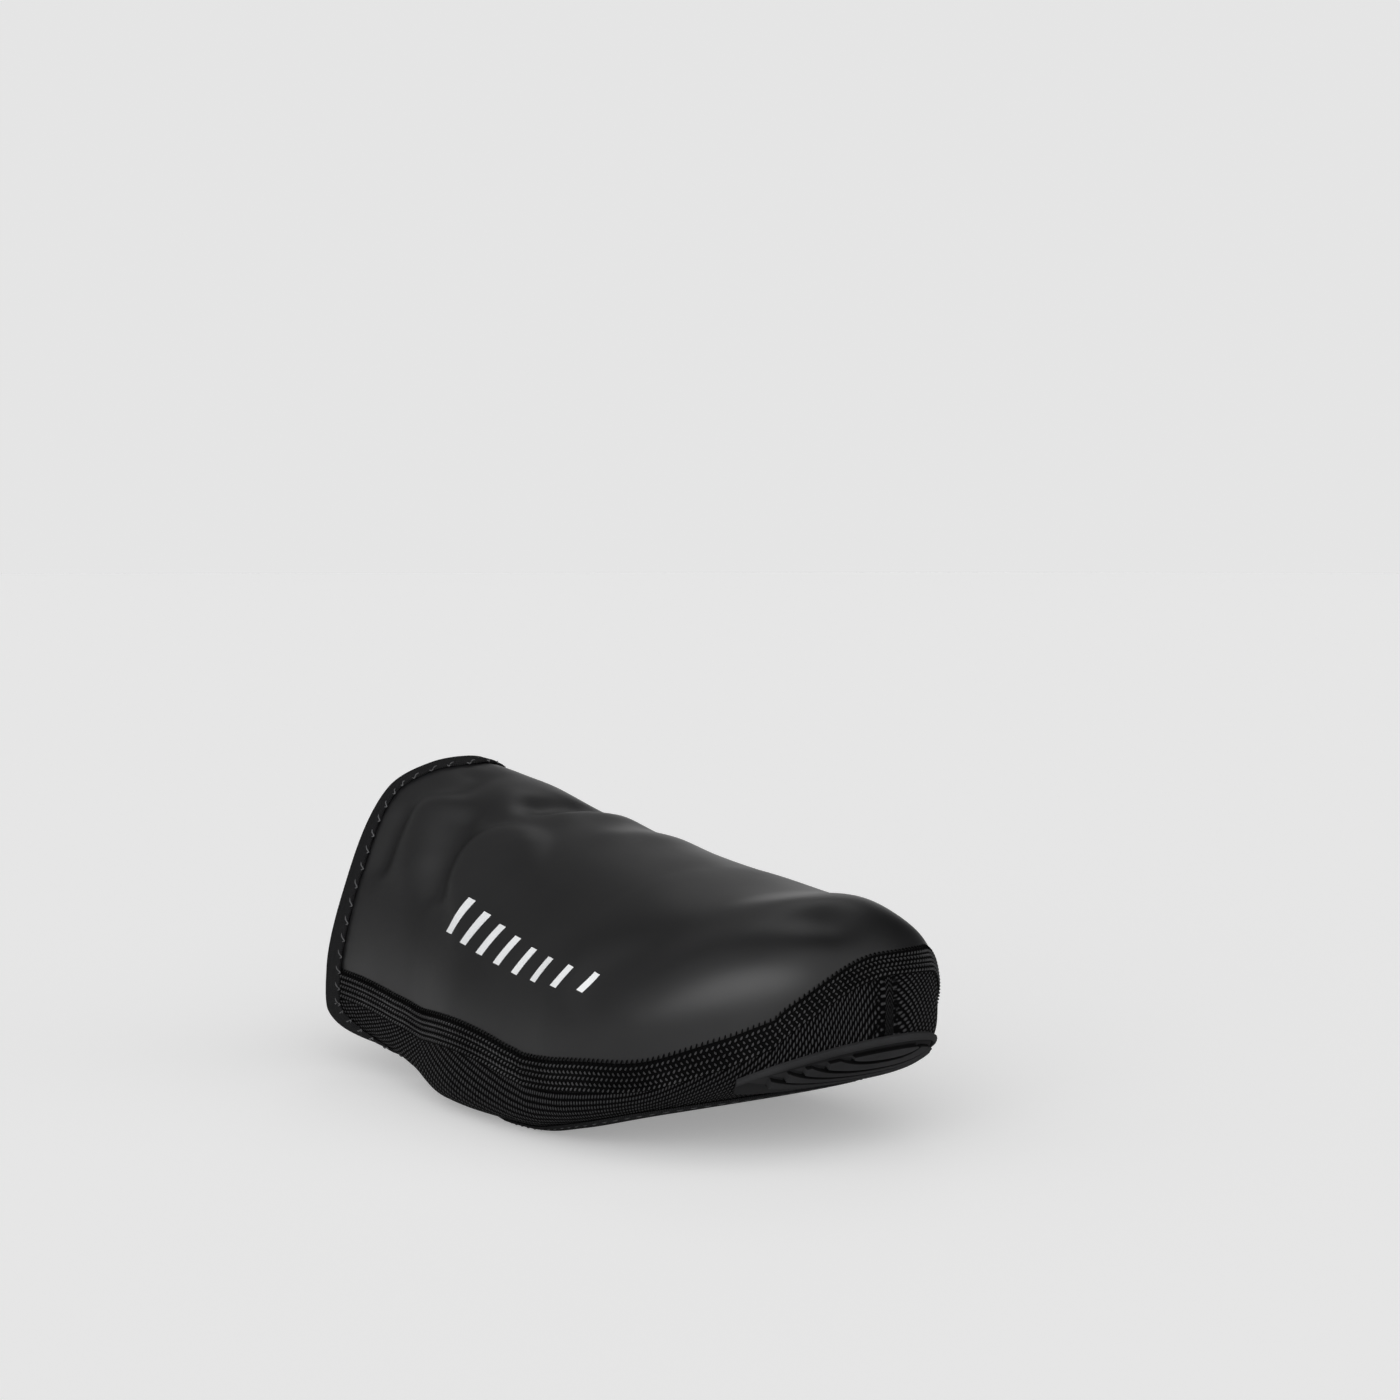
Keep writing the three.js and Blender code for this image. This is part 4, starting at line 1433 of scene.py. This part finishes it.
@dataclass
class Flatlock(Dressed):
    """The flatlock seam: a raised band below the seam line, its rows of stitches and a comb of teeth.

    Its sizes are in millimetres: lengths along the seam, distances down from the seam line and heights above
    the skin.
    """

    chart: KnitChart
    pitch: float = 1.4
    row_gap: float = 1.36
    rows: int = 5
    rise: float = 0.2
    end_gap: float = 6.4
    end_room: float = 1.0
    tip_scale: float = 0.72
    tip_reach: float = 0.5
    tip_power: float = 1.5
    band_steps: int = 700
    band_head: float = -0.15
    band_foot: float = 0.5
    band_seat: float = 0.06
    ridge_start: float = 0.3
    ridge: float = 0.12
    first_row: float = 1.05
    stitch_slant: float = 0.36
    stitch_run: float = 0.26
    stitch_bulge: float = 0.36
    stitch_radius: float = 0.23
    tooth_foot: float = 0.6
    tooth_climb: float = 1.7
    tooth_run: float = 0.3
    tooth_seat: float = 0.1
    tooth_bulge: float = 0.4
    tooth_arc: float = 1.15
    tooth_radius: float = 0.21
    tooth_flatness: float = 1.1

    def width_scale(self, station: Array) -> Array:
        """The band's width as a share of its full width: it narrows at the toe tip."""
        return lerp(self.tip_scale, 1, np.clip(np.abs(station) / self.tip_reach, 0, 1) ** self.tip_power)

    def spread(self, run: Array, down: Array, height: Array) -> tuple[Array, Array]:
        """Lays places of the seam on the skin.

        Args:
            run: Lengths along the seam.
            down: Distances down from the seam line.
            height: Heights above the skin.

        Returns:
            The places in the frame, in millimetres, and the skin's normals.
        """
        station = self.chart.station(run)
        turn = self.chart.turn(station, down * self.width_scale(station))
        points = self.skin.outside(station, turn, height) - self.skin.origin
        return points, self.skin.normal(station, turn)

    def reach(self) -> tuple[float, float]:
        """The lengths along the seam at which it runs under the rear tape.

        Returns:
            The lengths at its lateral and at its medial end.
        """
        limit = self.skin.station_at(self.skin.rear(0))
        first, last = np.interp([-limit, limit], self.chart.stations, self.chart.run)
        return first + self.end_gap, last - self.end_gap

    def centres(self) -> Array:
        """The lengths at which a row's stitches and the teeth stand, as a column."""
        first, last = self.reach()
        return np.arange(first + self.end_room, last - self.end_room, self.pitch)[:, None]

    def band(self) -> bpy.types.Object:
        """The base of the band, which swells under each row of stitches.

        Returns:
            The band.
        """
        run = np.linspace(*self.reach(), self.band_steps)[:, None]
        width = self.row_gap * self.rows + self.band_foot
        down = np.linspace(self.band_head, width, 4 * self.rows + 3)[None, :]
        ridge = np.abs(np.sin((down - self.ridge_start) / self.row_gap * math.pi))
        top, base = (
            self.spread(*np.broadcast_arrays(run, down, height))[0]
            for height in (self.rise + self.ridge * ridge, self.band_seat)
        )
        points = np.vstack([top.reshape(-1, 3), base.reshape(-1, 3)]) * MM
        flow = np.stack(np.broadcast_arrays(run, down, 0.0), -1).reshape(-1, 3)
        attributes = {"flow": np.vstack([flow, flow])}
        thing = make_object("seam_band", points, slab_faces(*top.shape[:2]), attributes)
        return self.finish(thing, "stretch_knit", [self.palette.dark_thread])

    def stitches(self) -> bpy.types.Object:
        """Rows of short raised stitches, slanted one way and the other in turn.

        Returns:
            All rows as one object.
        """
        place = np.linspace(-1, 1, 5)
        paths, normals = [], []
        for row in range(self.rows):
            slant = self.stitch_slant if row % 2 else -self.stitch_slant
            run = self.centres() + (row % 2) * self.pitch / 2 + self.stitch_run * place
            down = self.first_row + row * self.row_gap + slant * place + np.zeros_like(run)
            height = self.rise + self.stitch_bulge * (1 - place**2) + np.zeros_like(run)
            points, up = self.spread(run, down, height)
            paths.append(points)
            normals.append(up)
        paths, normals = np.vstack(paths), np.vstack(normals)
        thing = thread_object("seam_stitches", paths, normals, self.stitch_radius)
        return self.finish(thing, "stretch_knit", [self.palette.thread])

    def teeth(self) -> bpy.types.Object:
        """The comb of threads that laps onto the upper.

        Returns:
            All teeth as one object.
        """
        place = np.linspace(0, 1, 6)
        run = self.centres() + self.tooth_run * place
        down = self.tooth_foot - self.tooth_climb * place + np.zeros_like(run)
        arch = np.sin(np.clip(place * self.tooth_arc, 0, 1) * math.pi)
        height = self.tooth_seat + self.tooth_bulge * arch + np.zeros_like(run)
        points, normals = self.spread(run, down, height)
        thing = thread_object("seam_teeth", points, normals, self.tooth_radius, self.tooth_flatness)
        return self.finish(thing, "stretch_knit", [self.palette.dark_thread])

    def build(self) -> None:
        """Makes the band, its stitches and its teeth."""
        self.band()
        self.stitches()
        self.teeth()


class LoopEdge(NamedTuple):
    """A closed edge on the skin, with the skin's directions at each step."""

    station: Array
    turn: Array
    place: Array
    normal: Array
    inward: Array
    per_mm: tuple[Array, Array]
    length: Array


def loop_edge(skin: Skin, station: Array, turn: Array) -> LoopEdge:
    """Measures a closed edge.

    Args:
        skin: The skin.
        station: Stations along the edge.
        turn: Turns along the edge.

    Returns:
        The edge. Its inward direction points over the cloth that the edge bounds.
    """
    place = skin.point(station, turn)
    run = unit(np.roll(place, -1, 0) - np.roll(place, 1, 0))
    normal = skin.normal(station, turn)
    inward = unit(np.cross(normal, run))
    steps = np.linalg.norm(np.roll(place, -1, 0) - place, axis=-1)
    length = np.concatenate([[0], np.cumsum(steps)])[:-1]
    return LoopEdge(station, turn, place, normal, inward, skin.steps(station, turn, inward), length)


class ReachRow(NamedTuple):
    """How far the rear tape reaches in at a turn."""

    turn: float
    reach: float


REAR_REACH = (
    ReachRow(-1, 7.0),
    ReachRow(0.1, 6.8),
    ReachRow(0.35, 5.4),
    ReachRow(0.6, 4.2),
    ReachRow(0.8, 4.6),
    ReachRow(1, 6.6),
)


@dataclass
class Tape:
    """A tape folded over a closed edge of the cloth. Its widths are those at its widest spot."""

    skin: Skin
    edge: LoopEdge
    wall: float
    reach: float
    inner_reach: float
    thickness: float
    fold: float
    gap: float = 0.14
    pucker: float = 0.0
    pucker_pitch: float = 5.0
    pucker_slide: float = 0.6
    pucker_sink: float = 0.6
    free_steps: int = 5
    lip_steps: int = 9
    bend_steps: int = 11
    lip_taper: tuple[float, ...] = (0.62, 0.92, 1.0)
    stitch_fineness: int = 3
    lowest: float | None = None
    narrowing: Array | None = None

    def on_edge(self, index: Array, reach: Array, height: Array) -> Array:
        """Places in the frame, in millimetres.

        Args:
            index: Steps of the edge, which may be fractions.
            reach: Distance in from the edge, negative past it.
            height: Height above the skin.

        Returns:
            The places, with a last axis of x, y and z.
        """
        count = len(self.edge.station)
        low = np.floor(index).astype(int)
        share = index - low
        first, second = (self.at_step(i % count, reach, height) for i in (low, low + 1))
        return lerp(first, second, share[..., None]) - self.skin.origin

    def at_step(self, i: Array, reach: Array, height: Array) -> Array:
        """Places at whole steps of the edge.

        Args:
            i: Steps of the edge.
            reach: Distance in from the edge, negative past it.
            height: Height above the skin.

        Returns:
            The places, before they are moved into the frame.
        """
        edge = self.edge
        by_station, by_turn = edge.per_mm
        if self.narrowing is not None:
            reach = np.where(reach > 0, reach * self.narrowing[i], reach)
        near = edge.place[i] + reach[..., None] * edge.inward[i] + height[..., None] * edge.normal[i]
        inside = np.maximum(reach, 0)
        station = edge.station[i] + by_station[i] * inside
        turn = edge.turn[i] + by_turn[i] * inside
        over = self.skin.outside(station, turn, height)
        return np.where((reach > 0)[..., None], over, near)

    def section(self) -> tuple[Array, Array, Array, Array]:
        """The folded section.

        Returns:
            Reach and height of each corner, its length along the section, and its share of the pucker.
        """
        half = self.thickness / 2
        top, under = self.gap + half, -self.wall - self.gap - half
        lip = np.linspace(1, 0, self.lip_steps)
        bend = np.linspace(0, math.pi, self.bend_steps)[1:-1]
        middle, tall = (top + under) / 2, (top - under) / 2
        reach = np.concatenate([self.reach * lip, -self.fold * np.sin(bend), self.inner_reach * lip[::-1]])
        height = np.concatenate([top + 0 * lip, middle + tall * np.cos(bend), under + 0 * lip])
        line = np.stack([reach, height], -1)
        along = unit(np.gradient(line, axis=0))
        away = np.stack([along[:, 1], -along[:, 0]], -1)
        number = np.arange(len(line))
        ends = np.minimum(number, number[::-1])
        thick = half * np.array(self.lip_taper)[np.minimum(ends, len(self.lip_taper) - 1)]
        one, two = line - away * thick[:, None], line + away * thick[:, None]
        path = np.concatenate([[0], np.cumsum(np.linalg.norm(np.diff(line, axis=0), axis=-1))])
        free = np.clip(1 - number / self.free_steps, 0, 1)
        outline = np.vstack([one, two[::-1]])
        paths, frees = np.concatenate([path, path[::-1]]), np.concatenate([free, free[::-1]])
        return outline[:, 0], outline[:, 1], paths, frees

    def build(self, name: str) -> bpy.types.Object:
        """The tape as one closed mesh.

        Args:
            name: Name of the object.

        Returns:
            The tape.
        """
        reach, height, path, free = self.section()
        steps, corners = len(self.edge.station), len(reach)
        length = self.edge.length[:, None]
        wave = self.pucker * np.sin(length / self.pucker_pitch * 2 * math.pi) * free
        index = np.broadcast_to(np.arange(steps)[:, None], (steps, corners))
        reaches = np.broadcast_to(reach, (steps, corners)) + self.pucker_slide * wave
        points = self.on_edge(index, reaches, height + np.maximum(wave, -self.gap * self.pucker_sink))
        if self.lowest is not None:
            points[..., 2] = np.maximum(points[..., 2], self.lowest)
        flow = np.stack(np.broadcast_arrays(length, path, 0.0), -1)
        faces = grid_faces(steps, corners, (True, True))
        return make_object(name, points.reshape(-1, 3) * MM, faces, {"flow": flow.reshape(-1, 3)}, 70)

    def threads(
        self, name: str, marks: Sequence[tuple[float, float, float]], pitch: float, radius: float
    ) -> bpy.types.Object:
        """A row of equal stitches along the outer lip.

        Args:
            name: Name of the object.
            marks: Distance along, reach and height of each point of a stitch.
            pitch: Distance from stitch to stitch.
            radius: Half the thread's thickness.

        Returns:
            The stitches as one object.
        """
        total = self.edge.length[-1] + self.edge.length[1]
        count = round(total / pitch)
        spots = np.array(marks)
        share = np.linspace(0, len(spots) - 1, self.stitch_fineness * (len(spots) - 1) + 1)
        fine = np.stack([np.interp(share, np.arange(len(spots)), spots[:, k]) for k in range(3)], -1)
        along = np.arange(count)[:, None] * total / count + fine[:, 0]
        lengths = np.append(self.edge.length, total)
        index = np.interp(along % total, lengths, np.arange(len(lengths)))
        reach, height = (np.broadcast_to(fine[:, k], index.shape) for k in (1, 2))
        paths = self.on_edge(index, reach, height)
        if self.lowest is not None:
            paths[..., 2] = np.maximum(paths[..., 2], self.lowest + radius)
        normals = self.edge.normal[np.round(index).astype(int) % len(self.edge.station)]
        return thread_object(name, paths, normals, radius)


@dataclass
class RearBinding(Dressed):
    """The folded tape round the rear opening, with its zigzag of thread."""

    steps: int = 440
    wall: float = Upper.wall
    inner_reach: float = 6.4
    thickness: float = 0.85
    fold: float = 1.05
    pucker: float = 0.1
    clear: float = 0.08
    sunk: float = 0.1
    stitch_pitch: float = 4.7
    stitch_radius: float = 0.18

    def edge(self) -> LoopEdge:
        """The rear edge.

        Returns:
            The edge, down the lateral side from the crown and up the medial side.
        """
        share = np.arange(self.steps) / self.steps
        side = np.where(share < 0.5, -1.0, 1.0)
        turn = np.where(share < 0.5, 1 - 4 * share, 4 * share - 3)
        return loop_edge(self.skin, side * self.skin.station_at(self.skin.rear(turn)), turn)

    def build(self) -> None:
        """Makes the tape and its stitches."""
        edge = self.edge()
        widest = REAR_REACH[0].reach
        tape = Tape(
            self.skin,
            edge,
            wall=self.wall,
            reach=widest,
            inner_reach=self.inner_reach,
            thickness=self.thickness,
            fold=self.fold,
            pucker=self.pucker,
            narrowing=column(REAR_REACH, "turn", "reach")(edge.turn) / widest,
        )
        thing = tape.build("rear_tape")
        self.finish(thing, "binding_tape", [self.palette.tape], ["opening_binding"])
        top = tape.gap + self.thickness + self.clear
        low = top - self.sunk
        zigzag = [(0, 5.5, low), (0.9, 6.3, top), (1.8, 7.45, 0.5), (2.2, 6.8, low)]
        stitches = tape.threads("rear_tape_stitches", zigzag, self.stitch_pitch, self.stitch_radius)
        self.finish(stitches, "binding_tape", [self.palette.pale_thread])


@dataclass
class CleatBinding(Dressed):
    """The narrow tape round the cleat opening, on which the cover rests."""

    opening: CleatOpening
    steps: int = 300
    wall: float = Knit.wall
    reach: float = 4.4
    inner_reach: float = 4.0
    thickness: float = 0.7
    fold: float = 0.95
    clear: float = 0.06
    sunk: float = 0.1
    stitch_pitch: float = 3.0
    stitch_radius: float = 0.14

    def edge(self) -> LoopEdge:
        """The opening's edge.

        Returns:
            The edge, from its rear end round the lateral side, the toe end and the medial side.
        """
        half = self.steps // 2
        share = np.arange(half) / half
        lateral, medial = self.opening.edge(1 - share, -1), self.opening.edge(share, 1)
        station, turn = (np.concatenate(pair) for pair in zip(lateral, medial))
        return loop_edge(self.skin, station, turn)

    def build(self) -> None:
        """Makes the tape and its line of small stitches."""
        tape = Tape(
            self.skin,
            self.edge(),
            wall=self.wall,
            reach=self.reach,
            inner_reach=self.inner_reach,
            thickness=self.thickness,
            fold=self.fold,
            lowest=0.0,
        )
        thing = tape.build("cleat_tape")
        self.finish(thing, "binding_tape", [self.palette.tape], ["cleat_opening_binding"])
        top = tape.gap + self.thickness
        low = top - self.sunk
        tick = [(0, 3.4, low), (0.9, 3.5, top + self.clear), (1.8, 3.6, low)]
        stitches = tape.threads("cleat_tape_stitches", tick, self.stitch_pitch, self.stitch_radius)
        self.finish(stitches, "binding_tape", [self.palette.thread])


class CrescentRow(NamedTuple):
    """A crescent of the pad: where its rear border crosses the centre line, its sweep back, its cut-off."""

    x: float
    sweep: float
    cut: float


CRESCENTS = (
    CrescentRow(81.0, 0, 0.13),
    CrescentRow(78.3, 0, 0.205),
    CrescentRow(75.8, 0.5, 0.27),
    CrescentRow(72.8, 1, 0.32),
    CrescentRow(69.2, 1.5, 0.365),
)


class RimRow(NamedTuple):
    """A corner of the pad's rim: its distance in from the outer edge, its height and its lit share, which is
    below 1 where shade is painted in the trench.
    """

    inward: float
    height: float
    lit_share: float


RIM = (
    RimRow(0, 0.5, 1),
    RimRow(0.12, 0.97, 1),
    RimRow(0.4, 1.14, 1),
    RimRow(0.8, 1.24, 1),
    RimRow(1.08, 1.26, 1),
    RimRow(1.44, 1.2, 1),
    RimRow(1.68, 1.06, 1),
    # The last two corners lie in the trench inside the rim, with painted shade.
    RimRow(1.8, 0.3, 0.3),
    RimRow(2.4, 0.35, 0.55),
)


@dataclass
class ToePad(Dressed):
    """The moulded pad under the toe: a rim round nested crescents, with painted shade in its trenches and at
    its tail.
    """

    middle: float = 0.02
    reach: float = 0.46
    rear_x: float = 62.5
    rim_turn: float = -0.24
    rim_fall: float = 0.82
    probe: float = 0.05
    out_limits: tuple[float, float] = (0.02, 0.995)
    rim_width: float = 3.0
    tail_width: float = 0.9
    tail_step: float = 0.3
    back: float = 0.05
    back_corners: int = 10
    trench: float = 0.3
    low: float = 1.4
    high: float = 1.65
    groove: float = 0.8
    cut_fade: float = 0.004
    brink_drop: float = 0.12
    tail: float = 1.0
    tail_edge: tuple[float, float] = (0.8, 0.35)
    # Lit share of trench corners, lower for painted shade; beside a full crescent it falls to 0.
    trench_lit_share: float = 0.55
    # Lit share of the raised tail: painted shade at the pad's end.
    tail_lit_share: float = 0.7
    stations: int = 420

    def across(self, x: float, sweep: float, station: float) -> float:
        """Where a line that crosses the pad lies at a station.

        Args:
            x: Where it crosses the centre line.
            sweep: How far it has swept back at the pad's end.
            station: The station.

        Returns:
            Its turn.
        """
        rim_x = float(self.skin.plan(np.array(station))[2])
        back = sweep * ((station - self.middle) / self.reach) ** 2
        out = (x - back - self.skin.ball_x) / (rim_x - self.skin.ball_x)
        least, most = self.out_limits
        return float(self.skin.out_to_turn(min(max(out, least), most)))

    def crescent(
        self, head: float, brink: float, foot: float, shown: float
    ) -> list[tuple[float, float, float]]:
        """One crescent's part of the section.

        Args:
            head: Turn of its front wall.
            brink: Turn at which its face ends.
            foot: Turn at which the groove behind it ends.
            shown: How much of its height it has here.

        Returns:
            Turn, height and lit share of each corner; a lit share below 1 is painted shade.
        """
        low, high = (lerp(self.trench, height, shown) for height in (self.low, self.high))
        # Trench corners get painted shade, darkest beside a full crescent.
        trench_lit_share = self.trench_lit_share * (1 - shown)
        return [
            (head, self.trench, trench_lit_share),
            (lerp(head, brink, 0.02), lerp(self.trench, low, 0.75), trench_lit_share),
            (lerp(head, brink, 0.06), low, 1),
            (lerp(head, brink, 0.94), high, 1),
            (brink, high - self.brink_drop * shown, 1),
            (lerp(brink, foot, 0.12), lerp(self.trench, high, 0.4), trench_lit_share),
            (foot, self.trench, trench_lit_share),
        ]

    def section(self, station: float) -> list[tuple[float, float, float]]:
        """The pad's section at a station.

        Args:
            station: The station.

        Returns:
            Turn, height and lit share of each corner; a lit share below 1 is painted shade.
        """
        reach = abs(station - self.middle)
        rim = self.rim_turn - self.rim_fall * reach**2
        near = self.skin.point(np.array([station, station]), np.array([rim - self.probe, rim]))
        per_turn = float(np.linalg.norm(near[1] - near[0])) / self.probe
        head = rim - self.rim_width / per_turn
        rear = min(self.across(self.rear_x, 0, station), head - self.tail_width / per_turn)
        face = [(rim - row.inward / per_turn, row.height, row.lit_share) for row in RIM]
        for row in CRESCENTS:
            foot = min(max(self.across(row.x, row.sweep, station), rear), head)
            brink = min(foot + self.groove / per_turn, head)
            shown = min(max((row.cut - reach) / self.cut_fade, 0), 1) if brink < head else 0
            face += self.crescent(head, brink, foot, shown)
            head = foot
        step = self.tail_step / per_turn
        face += [
            # Painted shade in the last trench and on the tail.
            (head, self.trench, self.trench_lit_share),
            (min(rear + 3 * step, head), self.tail, self.tail_lit_share),
            (min(rear + step, head), self.tail_edge[0], 1),
            (rear, self.tail_edge[1], 1),
        ]
        return face + [(turn, self.back, 1) for turn in np.linspace(rear, rim, self.back_corners)]

    def build(self) -> bpy.types.Object:
        """Makes the pad as one closed mesh.

        Returns:
            The pad.
        """
        stations = self.middle + self.reach * np.linspace(-1, 1, self.stations)
        cells = np.array([self.section(station) for station in stations])
        rows, columns = cells.shape[:2]
        points = self.skin.outside(stations[:, None], cells[..., 0], cells[..., 1])
        faces = grid_faces(rows, columns, (False, True)).tolist()
        ring = list(range(columns))
        faces += [ring[::-1], [p + (rows - 1) * columns for p in ring]]
        # The attribute flow carries each corner's lit share, which the rubber turns into painted shade.
        flow = {"flow": np.stack([cells[..., 2]] * 3, -1).reshape(-1, 3)}
        pad = make_object("pad", self.skin.metres(points.reshape(-1, 3)), faces, flow, sharp_degrees=35)
        return self.finish(pad, "moulded_rubber", [self.palette.rubber], ["toe_pad"])


@dataclass
class SidePrint(Dressed):
    """A plain reflective hatch on the lateral side: slanted bars that grow shorter towards the toe."""

    start: tuple[float, float] = (-1.49, 0.375)
    end: tuple[float, float] = (-0.89, 0.255)
    bars: int = 8
    height: float = 10.5
    bar_width: float = 3.4
    last_height: float = 0.55
    last_width: float = 0.6
    slant: float = 0.35
    ink: float = 0.06
    seat: float = 0.01
    rows: int = 15
    columns: int = 5

    def bar(self, share: float, direction: Array) -> Array:
        """One bar.

        Args:
            share: Its share of the way from the first bar to the last.
            direction: The way from the first bar to the last.

        Returns:
            Its outer corners and then its inner ones.
        """
        station, turn = (np.array(lerp(a, b, share)) for a, b in zip(self.start, self.end))
        normal = self.skin.normal(station, turn)
        ahead = unit(direction - dot(direction, normal) * normal)
        up = np.cross(ahead, normal)
        up = up if up[2] > 0 else -up
        by_ahead, by_up = self.skin.steps(station, turn, ahead), self.skin.steps(station, turn, up)
        tall = self.height * lerp(1, self.last_height, share)
        wide = self.bar_width * lerp(1, self.last_width, share)
        y = np.linspace(-0.5, 0.5, self.rows)[:, None] * tall
        x = np.linspace(-0.5, 0.5, self.columns)[None, :] * wide + self.slant * y
        s = station + by_ahead[0] * x + by_up[0] * y
        t = turn + by_ahead[1] * x + by_up[1] * y
        return np.vstack([self.skin.outside(s, t, d).reshape(-1, 3) for d in (self.ink, self.seat)])

    def build(self) -> bpy.types.Object:
        """Makes all bars as one mesh of thin patches on the skin.

        Returns:
            The bars.
        """
        first, last = (self.skin.point(*np.array(end)) for end in (self.start, self.end))
        points = [self.bar(i / (self.bars - 1), unit(last - first)) for i in range(self.bars)]
        faces = []
        for i in range(self.bars):
            shift = i * 2 * self.rows * self.columns
            faces += [[p + shift for p in face] for face in slab_faces(self.rows, self.columns)]
        thing = make_object("side_print", self.skin.metres(np.vstack(points)), faces)
        return self.finish(thing, "coated_neoprene", [self.palette.print])


# ---- the studio ----


class SkyPatch(NamedTuple):
    """A soft patch of the sky: the way to it, its half width in degrees and its brightness.

    A negative brightness makes it a dark flag, which takes light from the sky.
    """

    name: str
    way: tuple[float, float, float]
    half_width: float
    glow: float


@dataclass
class Studio:
    """A pale floor under a soft sky of large lights, and the camera."""

    camera_place: tuple[float, float, float] = (0.5138, -0.4064, 0.1401)
    heading: tuple[float, float] = (-0.7666, 0.6421)
    lens: float = 64.4
    shift_y: float = -0.094
    sensor_width: float = 36.0
    clip: tuple[float, float] = (0.02, 200)
    backdrop: float = 0.785
    sky: float = 0.18
    even_share: float = 0.35
    floor_half: float = 60.0
    floor_tone: float = 0.82
    floor_glow: float = 0.29
    patches: tuple[SkyPatch, ...] = (
        SkyPatch("large softbox at the front right", (0.62, -0.74, 0.24), 43, 2.3),
        SkyPatch("its wide spill", (0.4, -0.85, 0.4), 80, 0.4),
        SkyPatch("fill past the toe", (0.84, 0.16, 0.5), 55, 0.55),
        SkyPatch("pale wall behind, low", (-0.67, 0.72, 0.17), 15, 0.6),
        SkyPatch("pale wall behind, high", (-0.47, 0.53, 0.71), 15, 0.6),
        SkyPatch("dark flag behind the toe", (0, 0.87, 0.48), 45, -0.16),
    )

    def camera(self) -> None:
        """Places the camera, level, with the view shifted down to the cover."""
        data = bpy.data.cameras.new("camera")
        data.lens, data.sensor_width, data.shift_y = self.lens, self.sensor_width, self.shift_y
        data.clip_start, data.clip_end = self.clip
        thing = bpy.data.objects.new("camera", data)
        thing.location = self.camera_place
        thing.rotation_euler = Vector((*self.heading, 0)).to_track_quat("-Z", "Y").to_euler()
        bpy.context.scene.collection.objects.link(thing)
        bpy.context.scene.camera = thing

    def floor(self) -> None:
        """A large pale floor."""
        half = self.floor_half
        corners = np.array([(-half, -half, 0), (half, -half, 0), (half, half, 0), (-half, half, 0)])
        floor = make_object("floor", corners, [[0, 1, 2, 3]], tidy_normals=False)
        material = bpy.data.materials.new("pale floor")
        material.use_nodes = True
        nodes = Nodes(material.node_tree)
        shader = material.node_tree.nodes["Principled BSDF"]
        shader.inputs["Base Color"].default_value = (*[self.floor_tone] * 3, 1)
        shader.inputs["Roughness"].default_value = 1.0
        shader.inputs["Specular IOR Level"].default_value = 0.0
        shader.inputs["Emission Color"].default_value = (1, 1, 1, 1)
        seen = nodes.signal("ShaderNodeLightPath", "Is Camera Ray")
        nodes.feed(shader.inputs["Emission Strength"], seen * self.floor_glow)
        floor.data.materials.append(material)

    def light(self) -> None:
        """Lights the world: an even sky with soft patches. The camera sees a plain backdrop instead."""
        world = bpy.data.worlds.new("studio")
        world.use_nodes = True
        nodes = Nodes(world.node_tree)
        ground = world.node_tree.nodes["Background"]
        way = nodes.signal("ShaderNodeTexCoord", "Generated")
        total: Signal | float = self.sky
        for patch in self.patches:
            aim = Vector(patch.way).normalized()
            cosine = nodes.signal("ShaderNodeVectorMath", "Value", {0: way, 1: aim}, operation="DOT_PRODUCT")
            edge = math.cos(math.radians(patch.half_width))
            inner = math.cos(math.radians(patch.half_width * self.even_share))
            total = nodes.ramp(cosine, edge, inner, 0, patch.glow) + total
        seen = nodes.signal("ShaderNodeLightPath", "Is Camera Ray")
        nodes.feed(ground.inputs["Strength"], total + seen * (total * -1 + self.backdrop))
        ground.inputs["Color"].default_value = (1, 1, 1, 1)
        bpy.context.scene.world = world
        bpy.context.scene.view_settings.view_transform = "Standard"

    def build(self) -> None:
        """Makes the whole studio."""
        self.camera()
        self.floor()
        self.light()


def main() -> None:
    """Builds the cover around its frame."""
    logging.basicConfig(level=logging.INFO, format="%(name)s: %(message)s")
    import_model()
    skin = Skin()
    skin.seat()
    LOG.info("the skin's origin is at %s mm", skin.origin.round(3).tolist())
    palette = Palette()
    opening, chart = CleatOpening(skin), KnitChart(skin)
    Upper(skin, palette).build()
    Knit(skin, palette, opening, chart).build()
    Flatlock(skin, palette, chart).build()
    RearBinding(skin, palette).build()
    CleatBinding(skin, palette, opening).build()
    ToePad(skin, palette).build()
    SidePrint(skin, palette).build()
    Studio().build()


if __name__ == "__main__":
    main()
